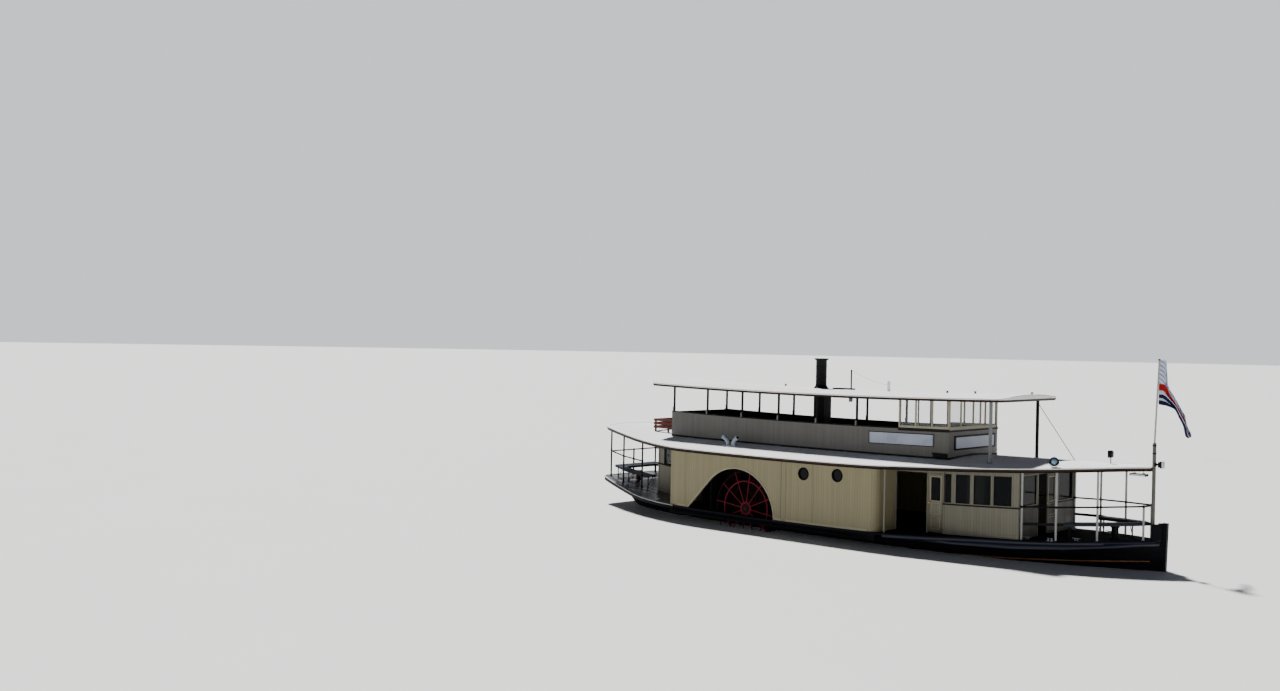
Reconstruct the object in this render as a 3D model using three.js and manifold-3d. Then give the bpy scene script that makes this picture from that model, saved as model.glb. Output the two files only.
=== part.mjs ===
// Side-wheel paddle steamer, 23 m long, afloat, as an assembly of separate solids.
// Millimetres. +X is forward, +Y to port, +Z up. The origin is on the waterline,
// on the centreline, near amidships.
import * as THREE from 'three';
import { mergeVertices } from 'three/addons/utils/BufferGeometryUtils.js';
import Module from 'manifold-3d';

const wasm = await Module();
wasm.setup();

// Clearances
const GAP = 0.3;            // between solids that touch
const DOOR_GAP = 8;         // round a door leaf

// Sheer and camber
const SHEER_LOW_X = -560;   // the lowest point of every fore-and-aft curve
const DECK_Z = 473;
const DECK_SHEER = 3.0e-6;
const DECK_AFT_SHEER = 14e-6;
const ROOF_Z = 2935;        // underside of the lower roof on the centreline
const ROOF_SHEER = 0.8e-6;
const ROOF_AFT_SHEER = 5e-6;
const ROOF_CAMBER = 30e-6;
const ROOF_THICK = 90;
const SILL_Z = 3870;        // top of the upper cabin's solid sides
const UPPER_SHEER = 2.0e-6;
const TOP_ROOF_Z = 4999;    // underside of the upper roof on the centreline
const TOP_ROOF_CAMBER = 32e-6;
const TOP_ROOF_THICK = 60;
const AFT_SHEER_X = -5000;  // abaft this the deck and lower roof rise faster,
const AFT_SHEER_RUN = 3000; // on a curve for this length and then straight

// Hull and deck
const DECK_THICK = 60;
const STEM_X = 12030;
const STEM_TOP_Z = 1470;
const DRAUGHT = 650;
const KEEL_DEPTH = 100;
const KEEL_WIDTH = 120;
const STERNPOST_X = -9585;

// Paddle wheels
const WHEEL_X = -1930;
const WHEEL_Z = 730;
const WHEEL_INNER_R = 1000;
const WHEEL_OUTER_R = 1370;
const WHEEL_IN_Y = 2400;
const WHEEL_OUT_Y = 2950;
const SPOKES = 12;
const SHAFT_R = 70;
const WELL_HALF_LENGTH = 1500;
const WELL_IN_Y = 2310;
const WELL_OUT_Y = 3000;

// Paddle boxes
const BOX_OUT_Y = 3100;
const BOX_WALL = 60;
const BOX_AFT_X = -5430;
const BOX_FWD_X = 3650;
const BOX_CORNER_R = 300;
const ARCH = { x: -2280, z: 420, r: 1720, footX: -4630, footZ: 450 };
const PORTHOLE_R = 183;
const PORTHOLES = [{ x: 710, z: 2210 }, { x: 2110, z: 2270 }];

// Lower cabins
const WALL = 60;
const CABIN_Y = 1960;
const CABIN_FWD_X = 8160;
const AFT_HOUSE_Y = 1360;
const AFT_HOUSE_X = -7670;
const SILL_H = 1030;        // window sill above the deck
const HEAD_H = 1970;        // window and door head above the deck

// Upper cabin
const UPPER_Y = 1636;
const UPPER_WALL = 50;
const UPPER_AFT_X = -6743;
const UPPER_FWD_X = 5475;
const WHEELHOUSE_X = 3550;
const POST_PITCH = 1700;
const FIRST_POST_X = -6640;
const POST_SIZE = 50;
const CAP_HEIGHT = 30;
const TOP_ROOF = { aft: -7620, fwd: 7515, y: 1850, cornerR: 90 };

// Curves of the decks and roofs
const along = (x) => (x - SHEER_LOW_X) ** 2;
function aftRise(x) {
  const run = Math.max(0, AFT_SHEER_X - x);
  return run < AFT_SHEER_RUN ? run ** 2 : AFT_SHEER_RUN * (2 * run - AFT_SHEER_RUN);
}
const deckTop = (x) => DECK_Z + DECK_SHEER * along(x) + DECK_AFT_SHEER * aftRise(x);
const roofLine = (x) => ROOF_Z + ROOF_SHEER * along(x) + ROOF_AFT_SHEER * aftRise(x);
const roofUnder = (x, y) => roofLine(x) - ROOF_CAMBER * y * y;
const roofTop = (x, y) => roofUnder(x, y) + ROOF_THICK;
const sillTop = (x) => SILL_Z + UPPER_SHEER * along(x);
const topRoofUnder = (x, y) => TOP_ROOF_Z + UPPER_SHEER * along(x) - TOP_ROOF_CAMBER * y * y;
const topRoofTop = (x, y) => topRoofUnder(x, y) + TOP_ROOF_THICK;

// Solids from geometry
function solid(geometry) {
  const bare = geometry.clone();
  for (const name of ['normal', 'uv', 'uv1']) bare.deleteAttribute(name);
  const merged = mergeVertices(bare, 1e-3);
  const vertProperties = new Float32Array(merged.attributes.position.array);
  const triVerts = new Uint32Array(merged.index.array);
  return new wasm.Manifold(new wasm.Mesh({ numProp: 3, vertProperties, triVerts }));
}

// The same with its faces turned the right way out
function facingOut(geometry) {
  const body = solid(geometry);
  if (body.volume() > 0) return body;
  const index = geometry.index.array;
  for (let i = 0; i < index.length; i += 3) [index[i], index[i + 1]] = [index[i + 1], index[i]];
  return solid(geometry);
}

const join = (parts) => parts.reduce((sum, part) => sum.add(part));
const cut = (body, ...tools) => tools.reduce((rest, tool) => rest.subtract(tool), body);

function box(x0, x1, y0, y1, z0, z1) {
  const geometry = new THREE.BoxGeometry(x1 - x0, y1 - y0, z1 - z0);
  geometry.translate((x0 + x1) / 2, (y0 + y1) / 2, (z0 + z1) / 2);
  return solid(geometry);
}

function extrude(outline, depth) {
  const shape = new THREE.Shape(outline.map(([u, v]) => new THREE.Vector2(u, v)));
  return new THREE.ExtrudeGeometry(shape, { depth, bevelEnabled: false });
}

// An outline of [x, y] points between two heights
function plan(outline, z0, z1) {
  const geometry = extrude(outline, z1 - z0);
  geometry.translate(0, 0, z0);
  return solid(geometry);
}

// An outline of [x, z] points between two values of y
function profile(outline, y0, y1) {
  const geometry = extrude(outline, y1 - y0);
  geometry.rotateX(Math.PI / 2);
  geometry.translate(0, y1, 0);
  return solid(geometry);
}

// A round bar between two points
function bar(from, to, radius, sides = 8) {
  const a = new THREE.Vector3(...from);
  const b = new THREE.Vector3(...to);
  const length = a.distanceTo(b);
  const geometry = new THREE.CylinderGeometry(radius, radius, length, sides);
  geometry.translate(0, length / 2, 0);
  const up = new THREE.Vector3(0, 1, 0);
  geometry.applyQuaternion(new THREE.Quaternion().setFromUnitVectors(up, b.clone().sub(a).normalize()));
  geometry.translate(a.x, a.y, a.z);
  return solid(geometry);
}

// Bars through a list of points
const chain = (points, radius, sides) =>
  join(points.slice(1).map((point, i) => bar(points[i], point, radius, sides)));

// A turned shape: [radius, distance] pairs about the line through origin along axis
function turned(pairs, segments, origin, axis) {
  const geometry = new THREE.LatheGeometry(pairs.map(([r, d]) => new THREE.Vector2(r, d)), segments);
  const up = new THREE.Vector3(0, 1, 0);
  geometry.applyQuaternion(new THREE.Quaternion().setFromUnitVectors(up, new THREE.Vector3(...axis)));
  geometry.translate(...origin);
  return facingOut(geometry);
}

// A closed skin through rings of points that all have the same count. The first half
// of a ring runs one way along its length and the second half runs back beside it.
function loft(rings) {
  const count = rings[0].length;
  const index = [];
  for (let r = 0; r + 1 < rings.length; r += 1) {
    for (let i = 0; i < count; i += 1) {
      const a = r * count + i;
      const b = r * count + ((i + 1) % count);
      index.push(a, b + count, b, a, a + count, b + count);
    }
  }
  const last = (rings.length - 1) * count;
  for (let i = 0; i + 1 < count / 2; i += 1) {
    const j = count - 1 - i;
    index.push(i, i + 1, j - 1, i, j - 1, j);
    index.push(last + i, last + j - 1, last + i + 1, last + i, last + j, last + j - 1);
  }
  const geometry = new THREE.BufferGeometry();
  geometry.setAttribute('position', new THREE.Float32BufferAttribute(rings.flat(2), 3));
  geometry.setIndex(index);
  return facingOut(geometry);
}

// Stations of every sheered surface. The extra one bounds a level strip at the entrances.
const ENTRANCE_STATION = 4880;
const GRID = { x0: -12600, x1: 12600, stepX: 1400, y1: 3600, stepY: 900 };
const STATIONS = [ENTRANCE_STATION];
for (let x = GRID.x0; x <= GRID.x1; x += GRID.stepX) STATIONS.push(x);
STATIONS.sort((a, b) => a - b);

// The space between two surfaces z(x, y), over the whole boat
function between(low, high, stepY = GRID.stepY) {
  const ys = [];
  for (let y = -GRID.y1; y <= GRID.y1; y += stepY) ys.push(y);
  return loft(STATIONS.map((x) => {
    const under = ys.map((y) => [x, y, low(x, y)]);
    const over = ys.map((y) => [x, y, high(x, y)]).reverse();
    return [...under, ...over];
  }));
}

const FAR_DOWN = -3000;
const FAR_UP = 9000;
const FLAT = 2 * GRID.y1;   // the step of a surface that is level across the boat
const underDeck = between(() => FAR_DOWN, (x) => deckTop(x) + GAP, FLAT);
const overDeckUnderside = between((x) => deckTop(x) - DECK_THICK - GAP, () => FAR_UP, FLAT);
const underRoofTop = between(() => FAR_DOWN, (x, y) => roofTop(x, y) + GAP);
const overRoof = between((x, y) => roofUnder(x, y) - GAP, () => FAR_UP);
const underSill = between(() => FAR_DOWN, (x) => sillTop(x) + GAP, FLAT);
const overSill = between((x) => sillTop(x), () => FAR_UP, FLAT);
const overTopRoof = between((x, y) => topRoofUnder(x, y) - GAP, () => FAR_UP);
const underTopRoofTop = between(() => FAR_DOWN, (x, y) => topRoofTop(x, y) + GAP);

// What stands on the deck under the lower roof, and the same one storey up
const mainStorey = (body) => cut(body, underDeck, overRoof);
const upperStorey = (body) => cut(body, underSill, overTopRoof);

// A closed plan outline from a table of [x, half breadth], mirrored across the centreline
function mirroredPlan(table, steps) {
  const points = table.map(([x, y]) => new THREE.Vector3(x, y, 0));
  const curve = new THREE.CatmullRomCurve3(points, false, 'centripetal');
  const side = curve.getPoints(steps).map((p) => [p.x, Math.max(p.y, 1)]);
  return [...side.map(([x, y]) => [x, -y]), ...side.reverse()];
}

// The parts, by name
const group = new THREE.Group();
const FINISH = {
  hullBlack: [0x1b1d20, 0.55, 0.0],
  navy: [0x1c2230, 0.5, 0.0],
  deckWood: [0x5a4740, 0.8, 0.0],
  cream: [0xd9cfa8, 0.6, 0.0],
  roofGrey: [0xd6d7d3, 0.75, 0.0],
  darkPaint: [0x23211f, 0.5, 0.0],
  wheelRed: [0x8c1a1e, 0.5, 0.0],
  iron: [0x2a2a2b, 0.45, 0.6],
  postGrey: [0xb9b4a4, 0.55, 0.0],
  benchBlue: [0x59656c, 0.6, 0.0],
  timberRed: [0x7b4030, 0.65, 0.0],
  varnish: [0x6a3a20, 0.35, 0.0],
  cloth: [0xb9bdc8, 0.9, 0.0],
  lampMetal: [0x777b80, 0.35, 0.8],
};

function add(name, body, finish) {
  const data = body.asOriginal().simplify(0.01).getMesh();
  const geometry = new THREE.BufferGeometry();
  geometry.setAttribute('position', new THREE.Float32BufferAttribute(data.vertProperties, 3));
  geometry.setIndex(new THREE.Uint32BufferAttribute(data.triVerts, 1));
  const [color, roughness, metalness] = FINISH[finish];
  const mesh = new THREE.Mesh(geometry, new THREE.MeshStandardMaterial({ color, roughness, metalness }));
  mesh.name = name;
  group.add(mesh);
}

const SIDES = [{ side: 'stbd', s: -1 }, { side: 'port', s: 1 }];
// A box whose y range is measured outboard on side s
const sideBox = (s, x0, x1, y0, y1, z0, z1) =>
  (s > 0 ? box(x0, x1, y0, y1, z0, z1) : box(x0, x1, -y1, -y0, z0, z1));
const sideProfile = (s, outline, y0, y1) =>
  (s > 0 ? profile(outline, y0, y1) : profile(outline, -y1, -y0));
const sidePlan = (s, outline, z0, z1) => plan(outline.map(([x, y]) => [x, s * y]), z0, z1);

// Hull, from sections: x, then bottom z, floor y, bilge y and z, side y and z, deck y
const HULL_SECTIONS = [
  { x: -10420, zBottom: 860, floor: 500, bilge: [800, 880], side: [1050, 930], deck: 1180 },
  { x: -10000, zBottom: 300, floor: 350, bilge: [560, 380], side: [850, 650], deck: 1250 },
  { x: -9500, zBottom: -40, floor: 400, bilge: [760, 80], side: [1120, 480], deck: 1400 },
  { x: -8800, zBottom: -330, floor: 550, bilge: [1020, -150], side: [1420, 350], deck: 1620 },
  { x: -7600, zBottom: -580, floor: 850, bilge: [1380, -380], side: [1720, 220], deck: 1850 },
  { x: -6500, zBottom: -DRAUGHT, floor: 1200, bilge: [1720, -430], side: [1930, 150], deck: 2000 },
  { x: -4500, zBottom: -DRAUGHT, floor: 1600, bilge: [2030, -450], side: [2150, 100], deck: 2170 },
  { x: -2000, zBottom: -DRAUGHT, floor: 1850, bilge: [2180, -450], side: [2245, 100], deck: 2250 },
  { x: 1500, zBottom: -DRAUGHT, floor: 1850, bilge: [2180, -450], side: [2245, 100], deck: 2250 },
  { x: 4000, zBottom: -DRAUGHT, floor: 1750, bilge: [2130, -450], side: [2230, 100], deck: 2250 },
  { x: 6000, zBottom: -DRAUGHT, floor: 1450, bilge: [1900, -430], side: [2080, 150], deck: 2160 },
  { x: 8000, zBottom: -DRAUGHT, floor: 950, bilge: [1420, -420], side: [1780, 200], deck: 1960 },
  { x: 9500, zBottom: -640, floor: 480, bilge: [870, -400], side: [1280, 250], deck: 1540 },
  { x: 10800, zBottom: -630, floor: 170, bilge: [380, -400], side: [620, 250], deck: 850 },
  { x: 11900, zBottom: -620, floor: 20, bilge: [40, -400], side: [55, 250], deck: 75 },
];

function hullRing({ x, zBottom, floor, bilge, side, deck }) {
  const half = [[floor, zBottom], bilge, side, [deck, deckTop(x)]];
  const port = half.map(([y, z]) => [x, y, z]);
  const stbd = half.map(([y, z]) => [x, -y, z]).reverse();
  return [...port, ...stbd];
}

const RUDDER = { x: -9650, stockR: 45, boreR: 60, bladeLength: 800, thick: 60, bottom: -700, top: -100,
  rake: 60, headZ: 460, boreTop: 520, skegAft: 90, skegGap: 10 };
const STEM = { foot: 11800, fore: 11990, knuckleZ: 700, aft: 11850, aftZ: 400, halfWidth: 70, rake: 20 };

function buildHull() {
  const shell = loft(HULL_SECTIONS.map(hullRing));
  const keelBottom = -DRAUGHT - KEEL_DEPTH;
  const stem = profile([[STEM.foot, keelBottom], [STEM.fore, keelBottom], [STEM_X, STEM.knuckleZ],
    [STEM_X + STEM.rake, STEM_TOP_Z], [STEM.aft + 50, STEM_TOP_Z], [STEM.aft, STEM.aftZ]],
  -STEM.halfWidth, STEM.halfWidth);
  const skegTop = RUDDER.bottom - RUDDER.skegGap;
  const keel = profile([[RUDDER.x - RUDDER.skegAft, keelBottom], [STEM.foot + 100, keelBottom],
    [STEM.foot + 100, -610], [-6500, -610], [-7600, -530], [-8800, -280], [STERNPOST_X, 40],
    [STERNPOST_X, skegTop], [RUDDER.x - RUDDER.skegAft, skegTop]], -KEEL_WIDTH / 2, KEEL_WIDTH / 2);
  const bore = bar([RUDDER.x, 0, -400], [RUDDER.x, 0, RUDDER.boreTop], RUDDER.boreR, 16);
  return cut(join([shell, keel]), bore, overDeckUnderside).add(stem);
}
const hull = buildHull();
add('hull', hull, 'hullBlack');

function buildRudder() {
  const { x, stockR, bladeLength, thick, bottom, top, rake, headZ } = RUDDER;
  const stock = bar([x, 0, bottom], [x, 0, headZ], stockR, 16);
  const blade = profile([[x, bottom], [x - bladeLength, bottom + rake], [x - bladeLength, top - rake],
    [x - bladeLength + rake, top], [x, top]], -thick / 2, thick / 2);
  return join([stock, blade]);
}
add('rudder', buildRudder(), 'hullBlack');

// Deck plan: x, half breadth
const DECK_PLAN = [[-10560, 1], [-10555, 1250], [-10510, 1480], [-10330, 1660], [-9640, 1990], [-9000, 2270],
  [-8400, 2520], [-7450, 2890], [-6800, 3050], [-6100, 3130], [-5000, 3160], [3200, 3160], [4300, 3080],
  [5500, 2740], [6500, 2400], [7300, 2210], [8160, 2060], [9230, 1730], [10300, 1180], [11200, 620],
  [11790, 190]];
// The shaft's bearings stand on the deck just inboard of the wheel boxes, so the wheels overhang
const BEARING = { r: 150, y0: 2110, y1: 2210, boreR: 75, half: 170, footZ: 440 };
const GUARD = { z0: 250, drop: 50, reach: 40 };

function buildMainDeck() {
  const slab = between((x) => deckTop(x) - DECK_THICK, (x) => deckTop(x), FLAT);
  const outline = plan(mirroredPlan(DECK_PLAN, 60), -1000, 2000);
  let deck = slab.intersect(outline);
  for (const { s } of SIDES) {
    deck = cut(deck, sideBox(s, WHEEL_X - WELL_HALF_LENGTH, WHEEL_X + WELL_HALF_LENGTH,
      WELL_IN_Y, WELL_OUT_Y, -1000, 2000));
    const guard = sideProfile(s, [[BOX_AFT_X, GUARD.z0], [BOX_FWD_X, GUARD.z0],
      [BOX_FWD_X, deckTop(BOX_FWD_X) - GUARD.drop], [0, DECK_Z - GUARD.drop],
      [BOX_AFT_X, deckTop(BOX_AFT_X) - GUARD.drop]], WELL_OUT_Y, BOX_OUT_Y + GUARD.reach);
    const { r, y0, y1, boreR, half, footZ } = BEARING;
    const pedestal = sideBox(s, WHEEL_X - half, WHEEL_X + half, y0, y1, footZ, WHEEL_Z);
    const ring = bar([WHEEL_X, s * y0, WHEEL_Z], [WHEEL_X, s * y1, WHEEL_Z], r, 24);
    const bore = bar([WHEEL_X, s * (y0 - 100), WHEEL_Z], [WHEEL_X, s * (y1 + 100), WHEEL_Z], boreR, 24);
    deck = cut(join([deck, guard, pedestal, ring]), bore);
  }
  return deck;
}
add('main_deck', buildMainDeck(), 'deckWood');

// A band along each side of the bow: x, half breadth of its inner face, bottom z
const STRAKE = [{ x: 4300, y: 2252, z: 270 }, { x: 6000, y: 2165, z: 300 }, { x: 8000, y: 1968, z: 380 },
  { x: 9500, y: 1550, z: 500 }, { x: 10800, y: 862, z: 640 }, { x: 11860, y: 118, z: 760 }];
const STRAKE_THICK = 60;
const STRAKE_BEVEL = 30;
function buildStrake(s) {
  const rings = STRAKE.map(({ x, y, z }) => {
    const top = deckTop(x);
    const out = y + STRAKE_THICK;
    const ring = [[y, z], [out, z + STRAKE_BEVEL], [out, top], [y, top]];
    return ring.map(([py, pz]) => [x, s * py, pz]);
  });
  return cut(loft(rings), overDeckUnderside, hull);
}
for (const { side, s } of SIDES) add(`rubbing_strake_${side}`, buildStrake(s), 'navy');

// A small raised bulwark round the stem head
function buildBulwark() {
  const outline = [[11660, 300], [11730, 240], [11830, 165], [11920, 90], [11920, STEM.halfWidth + GAP],
    [11870, STEM.halfWidth + GAP], [11830, 95], [11660, 232]];
  const walls = SIDES.map(({ s }) => sidePlan(s, outline, 500, STEM_TOP_Z));
  const breastHook = box(11740, STEM.aft - GAP, -130, 130, 1250, 1310);
  const slope = profile([[11400, 1385], [12100, 1475], [12100, 2000], [11400, 2000]], -1000, 1000);
  return cut(join([...walls, breastHook]), slope, underDeck, hull);
}
add('bow_bulwark', buildBulwark(), 'hullBlack');

// Paddle wheels and their shaft
function ringPlate(radius, y, depth, thick) {
  const inner = radius - depth;
  const pairs = [[inner, 0], [radius, 0], [radius, thick], [inner, thick], [inner, 0]];
  return turned(pairs, 24, [WHEEL_X, y, WHEEL_Z], [0, 1, 0]);
}

function inWheel(body, angle) {
  return body.rotate([0, angle, 0]).translate([WHEEL_X, 0, WHEEL_Z]);
}

const SPOKE_PHASE = 7.5;
const RIM = { thick: 24, innerDepth: 60, outerDepth: 50 };
const HUB = { r: 170, boreR: SHAFT_R + GAP, proud: 10 };
const SPOKE_HALF = 32;
const FLOAT_HALF = 22;
const SHAFT_END_Y = WHEEL_OUT_Y + HUB.proud + 15;
function buildWheel(s) {
  const low = s > 0 ? WHEEL_IN_Y : -WHEEL_OUT_Y;
  const high = s > 0 ? WHEEL_OUT_Y : -WHEEL_IN_Y;
  const angles = Array.from({ length: SPOKES }, (_, i) => SPOKE_PHASE + (360 / SPOKES) * i);
  const parts = [];
  for (const y of [low, high - RIM.thick]) {
    parts.push(ringPlate(WHEEL_INNER_R, y, RIM.innerDepth, RIM.thick));
    parts.push(ringPlate(WHEEL_OUTER_R - 30, y, RIM.outerDepth, RIM.thick));
    for (const angle of angles) {
      const spoke = box(-SPOKE_HALF, SPOKE_HALF, y, y + RIM.thick, HUB.r - 10, WHEEL_OUTER_R - 10);
      parts.push(inWheel(spoke, angle));
    }
  }
  for (const angle of angles) {
    const float = box(-FLOAT_HALF, FLOAT_HALF, low + RIM.thick - 2, high - RIM.thick + 2,
      WHEEL_INNER_R + 40, WHEEL_OUTER_R);
    parts.push(inWheel(float, angle));
  }
  parts.push(bar([WHEEL_X, low - HUB.proud, WHEEL_Z], [WHEEL_X, high + HUB.proud, WHEEL_Z], HUB.r, 24));
  const bore = bar([WHEEL_X, -4000, WHEEL_Z], [WHEEL_X, 4000, WHEEL_Z], HUB.boreR, 24);
  return cut(join(parts), bore);
}
for (const { side, s } of SIDES) add(`paddle_wheel_${side}`, buildWheel(s), 'wheelRed');
add('paddle_shaft', bar([WHEEL_X, -SHAFT_END_Y, WHEEL_Z], [WHEEL_X, SHAFT_END_Y, WHEEL_Z], SHAFT_R, 24),
  'iron');

// Paddle boxes
function archOutline() {
  const toFoot = [ARCH.footX - ARCH.x, ARCH.footZ - ARCH.z];
  const reach = Math.hypot(...toFoot);
  const start = Math.atan2(toFoot[1], toFoot[0]) - Math.acos(ARCH.r / reach);
  const points = [[ARCH.footX - 400, 0], [ARCH.footX, ARCH.footZ]];
  const steps = 20;
  for (let i = 0; i <= steps; i += 1) {
    const angle = start * (1 - i / steps);
    points.push([ARCH.x + ARCH.r * Math.cos(angle), ARCH.z + ARCH.r * Math.sin(angle)]);
  }
  points.push([ARCH.x + ARCH.r, 0]);
  return points.reverse();
}

function cornerPlan() {
  const centre = [BOX_FWD_X - BOX_CORNER_R, BOX_OUT_Y - BOX_CORNER_R];
  const steps = 8;
  const arc = (radius, from, to) => Array.from({ length: steps + 1 }, (_, i) => {
    const angle = from + ((to - from) * i) / steps;
    return [centre[0] + radius * Math.cos(angle), centre[1] + radius * Math.sin(angle)];
  });
  const quarter = Math.PI / 2;
  return [
    [BOX_AFT_X, AFT_HOUSE_Y + GAP], [BOX_AFT_X, BOX_OUT_Y],
    ...arc(BOX_CORNER_R, quarter, 0),
    [BOX_FWD_X, CABIN_Y + GAP], [BOX_FWD_X - BOX_WALL, CABIN_Y + GAP],
    ...arc(BOX_CORNER_R - BOX_WALL, 0, quarter),
    [BOX_AFT_X + BOX_WALL, BOX_OUT_Y - BOX_WALL], [BOX_AFT_X + BOX_WALL, AFT_HOUSE_Y + GAP],
  ];
}

function buildBoxSide(s) {
  const wall = sidePlan(s, cornerPlan(), 200, 3200);
  const arch = sideProfile(s, archOutline(), BOX_OUT_Y - 200, BOX_OUT_Y + 200);
  const holes = PORTHOLES.map(({ x, z }) =>
    bar([x, s * (BOX_OUT_Y - 200), z], [x, s * (BOX_OUT_Y + 200), z], PORTHOLE_R, 24));
  return mainStorey(cut(wall, arch, ...holes));
}
for (const { side, s } of SIDES) add(`paddle_box_side_${side}`, buildBoxSide(s), 'cream');

const LINING = { y0: 2235, y1: 2285, x0: -3520, x1: -340, thick: 50, shaftR: 95 };
function buildLining(s) {
  const { y0, y1, x0, x1, thick, shaftR } = LINING;
  const outer = BOX_OUT_Y - BOX_WALL - GAP;
  const outline = [[x0, y0], [x1, y0], [x1, outer], [x1 - thick, outer], [x1 - thick, y1],
    [x0 + thick, y1], [x0 + thick, outer], [x0, outer]];
  const bore = bar([WHEEL_X, s * 2000, WHEEL_Z], [WHEEL_X, s * 2500, WHEEL_Z], shaftR, 24);
  return mainStorey(cut(sidePlan(s, outline, 200, 3200), bore));
}
for (const { side, s } of SIDES) add(`paddle_box_lining_${side}`, buildLining(s), 'hullBlack');

// Lower cabin. An opening in a side wall follows the sheer of the deck.
function opening(s, x0, x1, h0, h1, y) {
  const corners = [[x0, h0], [x1, h0], [x1, h1], [x0, h1]].map(([x, h]) => [x, deckTop(x) + h]);
  return sideProfile(s, corners, y - 200, y + 100);
}
const ENTRANCE = { x0: 3710, x1: 4890 };
const SIDE_DOOR = { x0: 4930, x1: 5500 };
const CABIN_WINDOWS = [[5560, 5800], [5950, 6470], [6590, 7200], [7290, 7920]];
function buildCabinSide(s) {
  const wall = sideBox(s, BOX_FWD_X - BOX_WALL, CABIN_FWD_X - WALL - GAP, CABIN_Y - WALL, CABIN_Y, 200, 3200);
  const openings = [
    opening(s, ENTRANCE.x0, ENTRANCE.x1, -100, HEAD_H, CABIN_Y),
    opening(s, SIDE_DOOR.x0, SIDE_DOOR.x1, -100, HEAD_H, CABIN_Y),
    ...CABIN_WINDOWS.map(([x0, x1]) => opening(s, x0, x1, SILL_H, HEAD_H, CABIN_Y)),
  ];
  return mainStorey(cut(wall, ...openings));
}
for (const { side, s } of SIDES) add(`cabin_side_${side}`, buildCabinSide(s), 'cream');

const FRONT_DOOR = { y: 640 };
const FRONT_WINDOW = { y0: 780, y1: 1800 };
function buildCabinFront() {
  const base = deckTop(CABIN_FWD_X);
  const wall = box(CABIN_FWD_X - WALL, CABIN_FWD_X, -CABIN_Y, CABIN_Y, 200, 3300);
  const door = box(CABIN_FWD_X - 200, CABIN_FWD_X + 100, -FRONT_DOOR.y, FRONT_DOOR.y, 0, base + HEAD_H);
  const windows = SIDES.map(({ s }) => sideBox(s, CABIN_FWD_X - 200, CABIN_FWD_X + 100,
    FRONT_WINDOW.y0, FRONT_WINDOW.y1, base + SILL_H, base + HEAD_H));
  return mainStorey(cut(wall, door, ...windows));
}
add('cabin_front', buildCabinFront(), 'cream');

// Doors: a leaf with a glazed upper light
const LEAF = { thick: 40, foot: 15, stile: 90, lightFrom: 1050, lightTo: 1840, height: HEAD_H - DOOR_GAP };
function leafAlongX(s, x0, x1, y1, z) {
  const { thick, foot, stile, lightFrom, lightTo, height } = LEAF;
  const leaf = sideBox(s, x0, x1, y1 - thick, y1, z + foot, z + height);
  return cut(leaf, sideBox(s, x0 + stile, x1 - stile, y1 - 200, y1 + 200, z + lightFrom, z + lightTo));
}
for (const { side, s } of SIDES) {
  const x0 = SIDE_DOOR.x0 + DOOR_GAP;
  const x1 = SIDE_DOOR.x1 - DOOR_GAP;
  const leaf = leafAlongX(s, x0, x1, CABIN_Y - 10, deckTop(x1));
  const head = opening(s, x0 - 50, x1 + 50, -100, HEAD_H - DOOR_GAP, CABIN_Y);
  add(`side_door_${side}`, leaf.intersect(head), 'cream');
}

// The starboard leaf of the front doors stands open, the port leaf is shut
const FRONT_LEAF = { width: FRONT_DOOR.y - DOOR_GAP * 1.5, hingeX: CABIN_FWD_X - WALL + 5,
  hingeY: FRONT_DOOR.y - DOOR_GAP };
function buildFrontLeaf(open, s) {
  const { thick, foot, stile, lightFrom, lightTo, height } = LEAF;
  const { width, hingeX, hingeY } = FRONT_LEAF;
  const z = deckTop(CABIN_FWD_X);
  const leaf = open
    ? sideBox(s, hingeX - width, hingeX, hingeY - thick, hingeY, z + foot, z + height)
    : sideBox(s, hingeX, hingeX + thick, hingeY - width, hingeY, z + foot, z + height);
  const light = open
    ? sideBox(s, hingeX - width + stile, hingeX - stile, 0, 2000, z + lightFrom, z + lightTo)
    : sideBox(s, 0, 2 * hingeX, hingeY - width + stile, hingeY - stile, z + lightFrom, z + lightTo);
  return cut(leaf, light);
}
add('front_door_stbd', buildFrontLeaf(true, -1), 'cream');
add('front_door_port', buildFrontLeaf(false, 1), 'cream');

// Aft deckhouse
const AFT_WINDOWS = [[-7310, -6600], [-6400, -5700]];
const AFT_SILL_H = 1150;
function buildAftHouseSide(s) {
  const wall = sideBox(s, AFT_HOUSE_X + WALL + GAP, BOX_AFT_X + BOX_WALL,
    AFT_HOUSE_Y - WALL, AFT_HOUSE_Y, 200, 3300);
  const windows = AFT_WINDOWS.map(([x0, x1]) => opening(s, x0, x1, AFT_SILL_H, HEAD_H, AFT_HOUSE_Y));
  return mainStorey(cut(wall, ...windows));
}
for (const { side, s } of SIDES) add(`aft_house_side_${side}`, buildAftHouseSide(s), 'cream');

const AFT_DOOR = { y: 330 };
function buildAftHouseEnd() {
  const wall = box(AFT_HOUSE_X, AFT_HOUSE_X + WALL, -AFT_HOUSE_Y, AFT_HOUSE_Y, 200, 3300);
  const door = box(AFT_HOUSE_X - 100, AFT_HOUSE_X + 200, -AFT_DOOR.y, AFT_DOOR.y, 0,
    deckTop(AFT_HOUSE_X) + HEAD_H);
  return mainStorey(cut(wall, door));
}
add('aft_house_end', buildAftHouseEnd(), 'cream');

// Its door opens inward, hinged at the inner face on the port side
const AFT_HINGE = { x: AFT_HOUSE_X + WALL - 5, y: AFT_DOOR.y - DOOR_GAP };
function buildAftDoor() {
  const { thick, foot, stile, lightFrom, lightTo, height } = LEAF;
  const { x, y } = AFT_HINGE;
  const z = deckTop(AFT_HOUSE_X);
  const leaf = box(x - thick, x, -y, y, z + foot, z + height);
  return cut(leaf, box(2 * x, 0, -y + stile, y - stile, z + lightFrom, z + lightTo));
}
add('aft_door', buildAftDoor(), 'cream');

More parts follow.
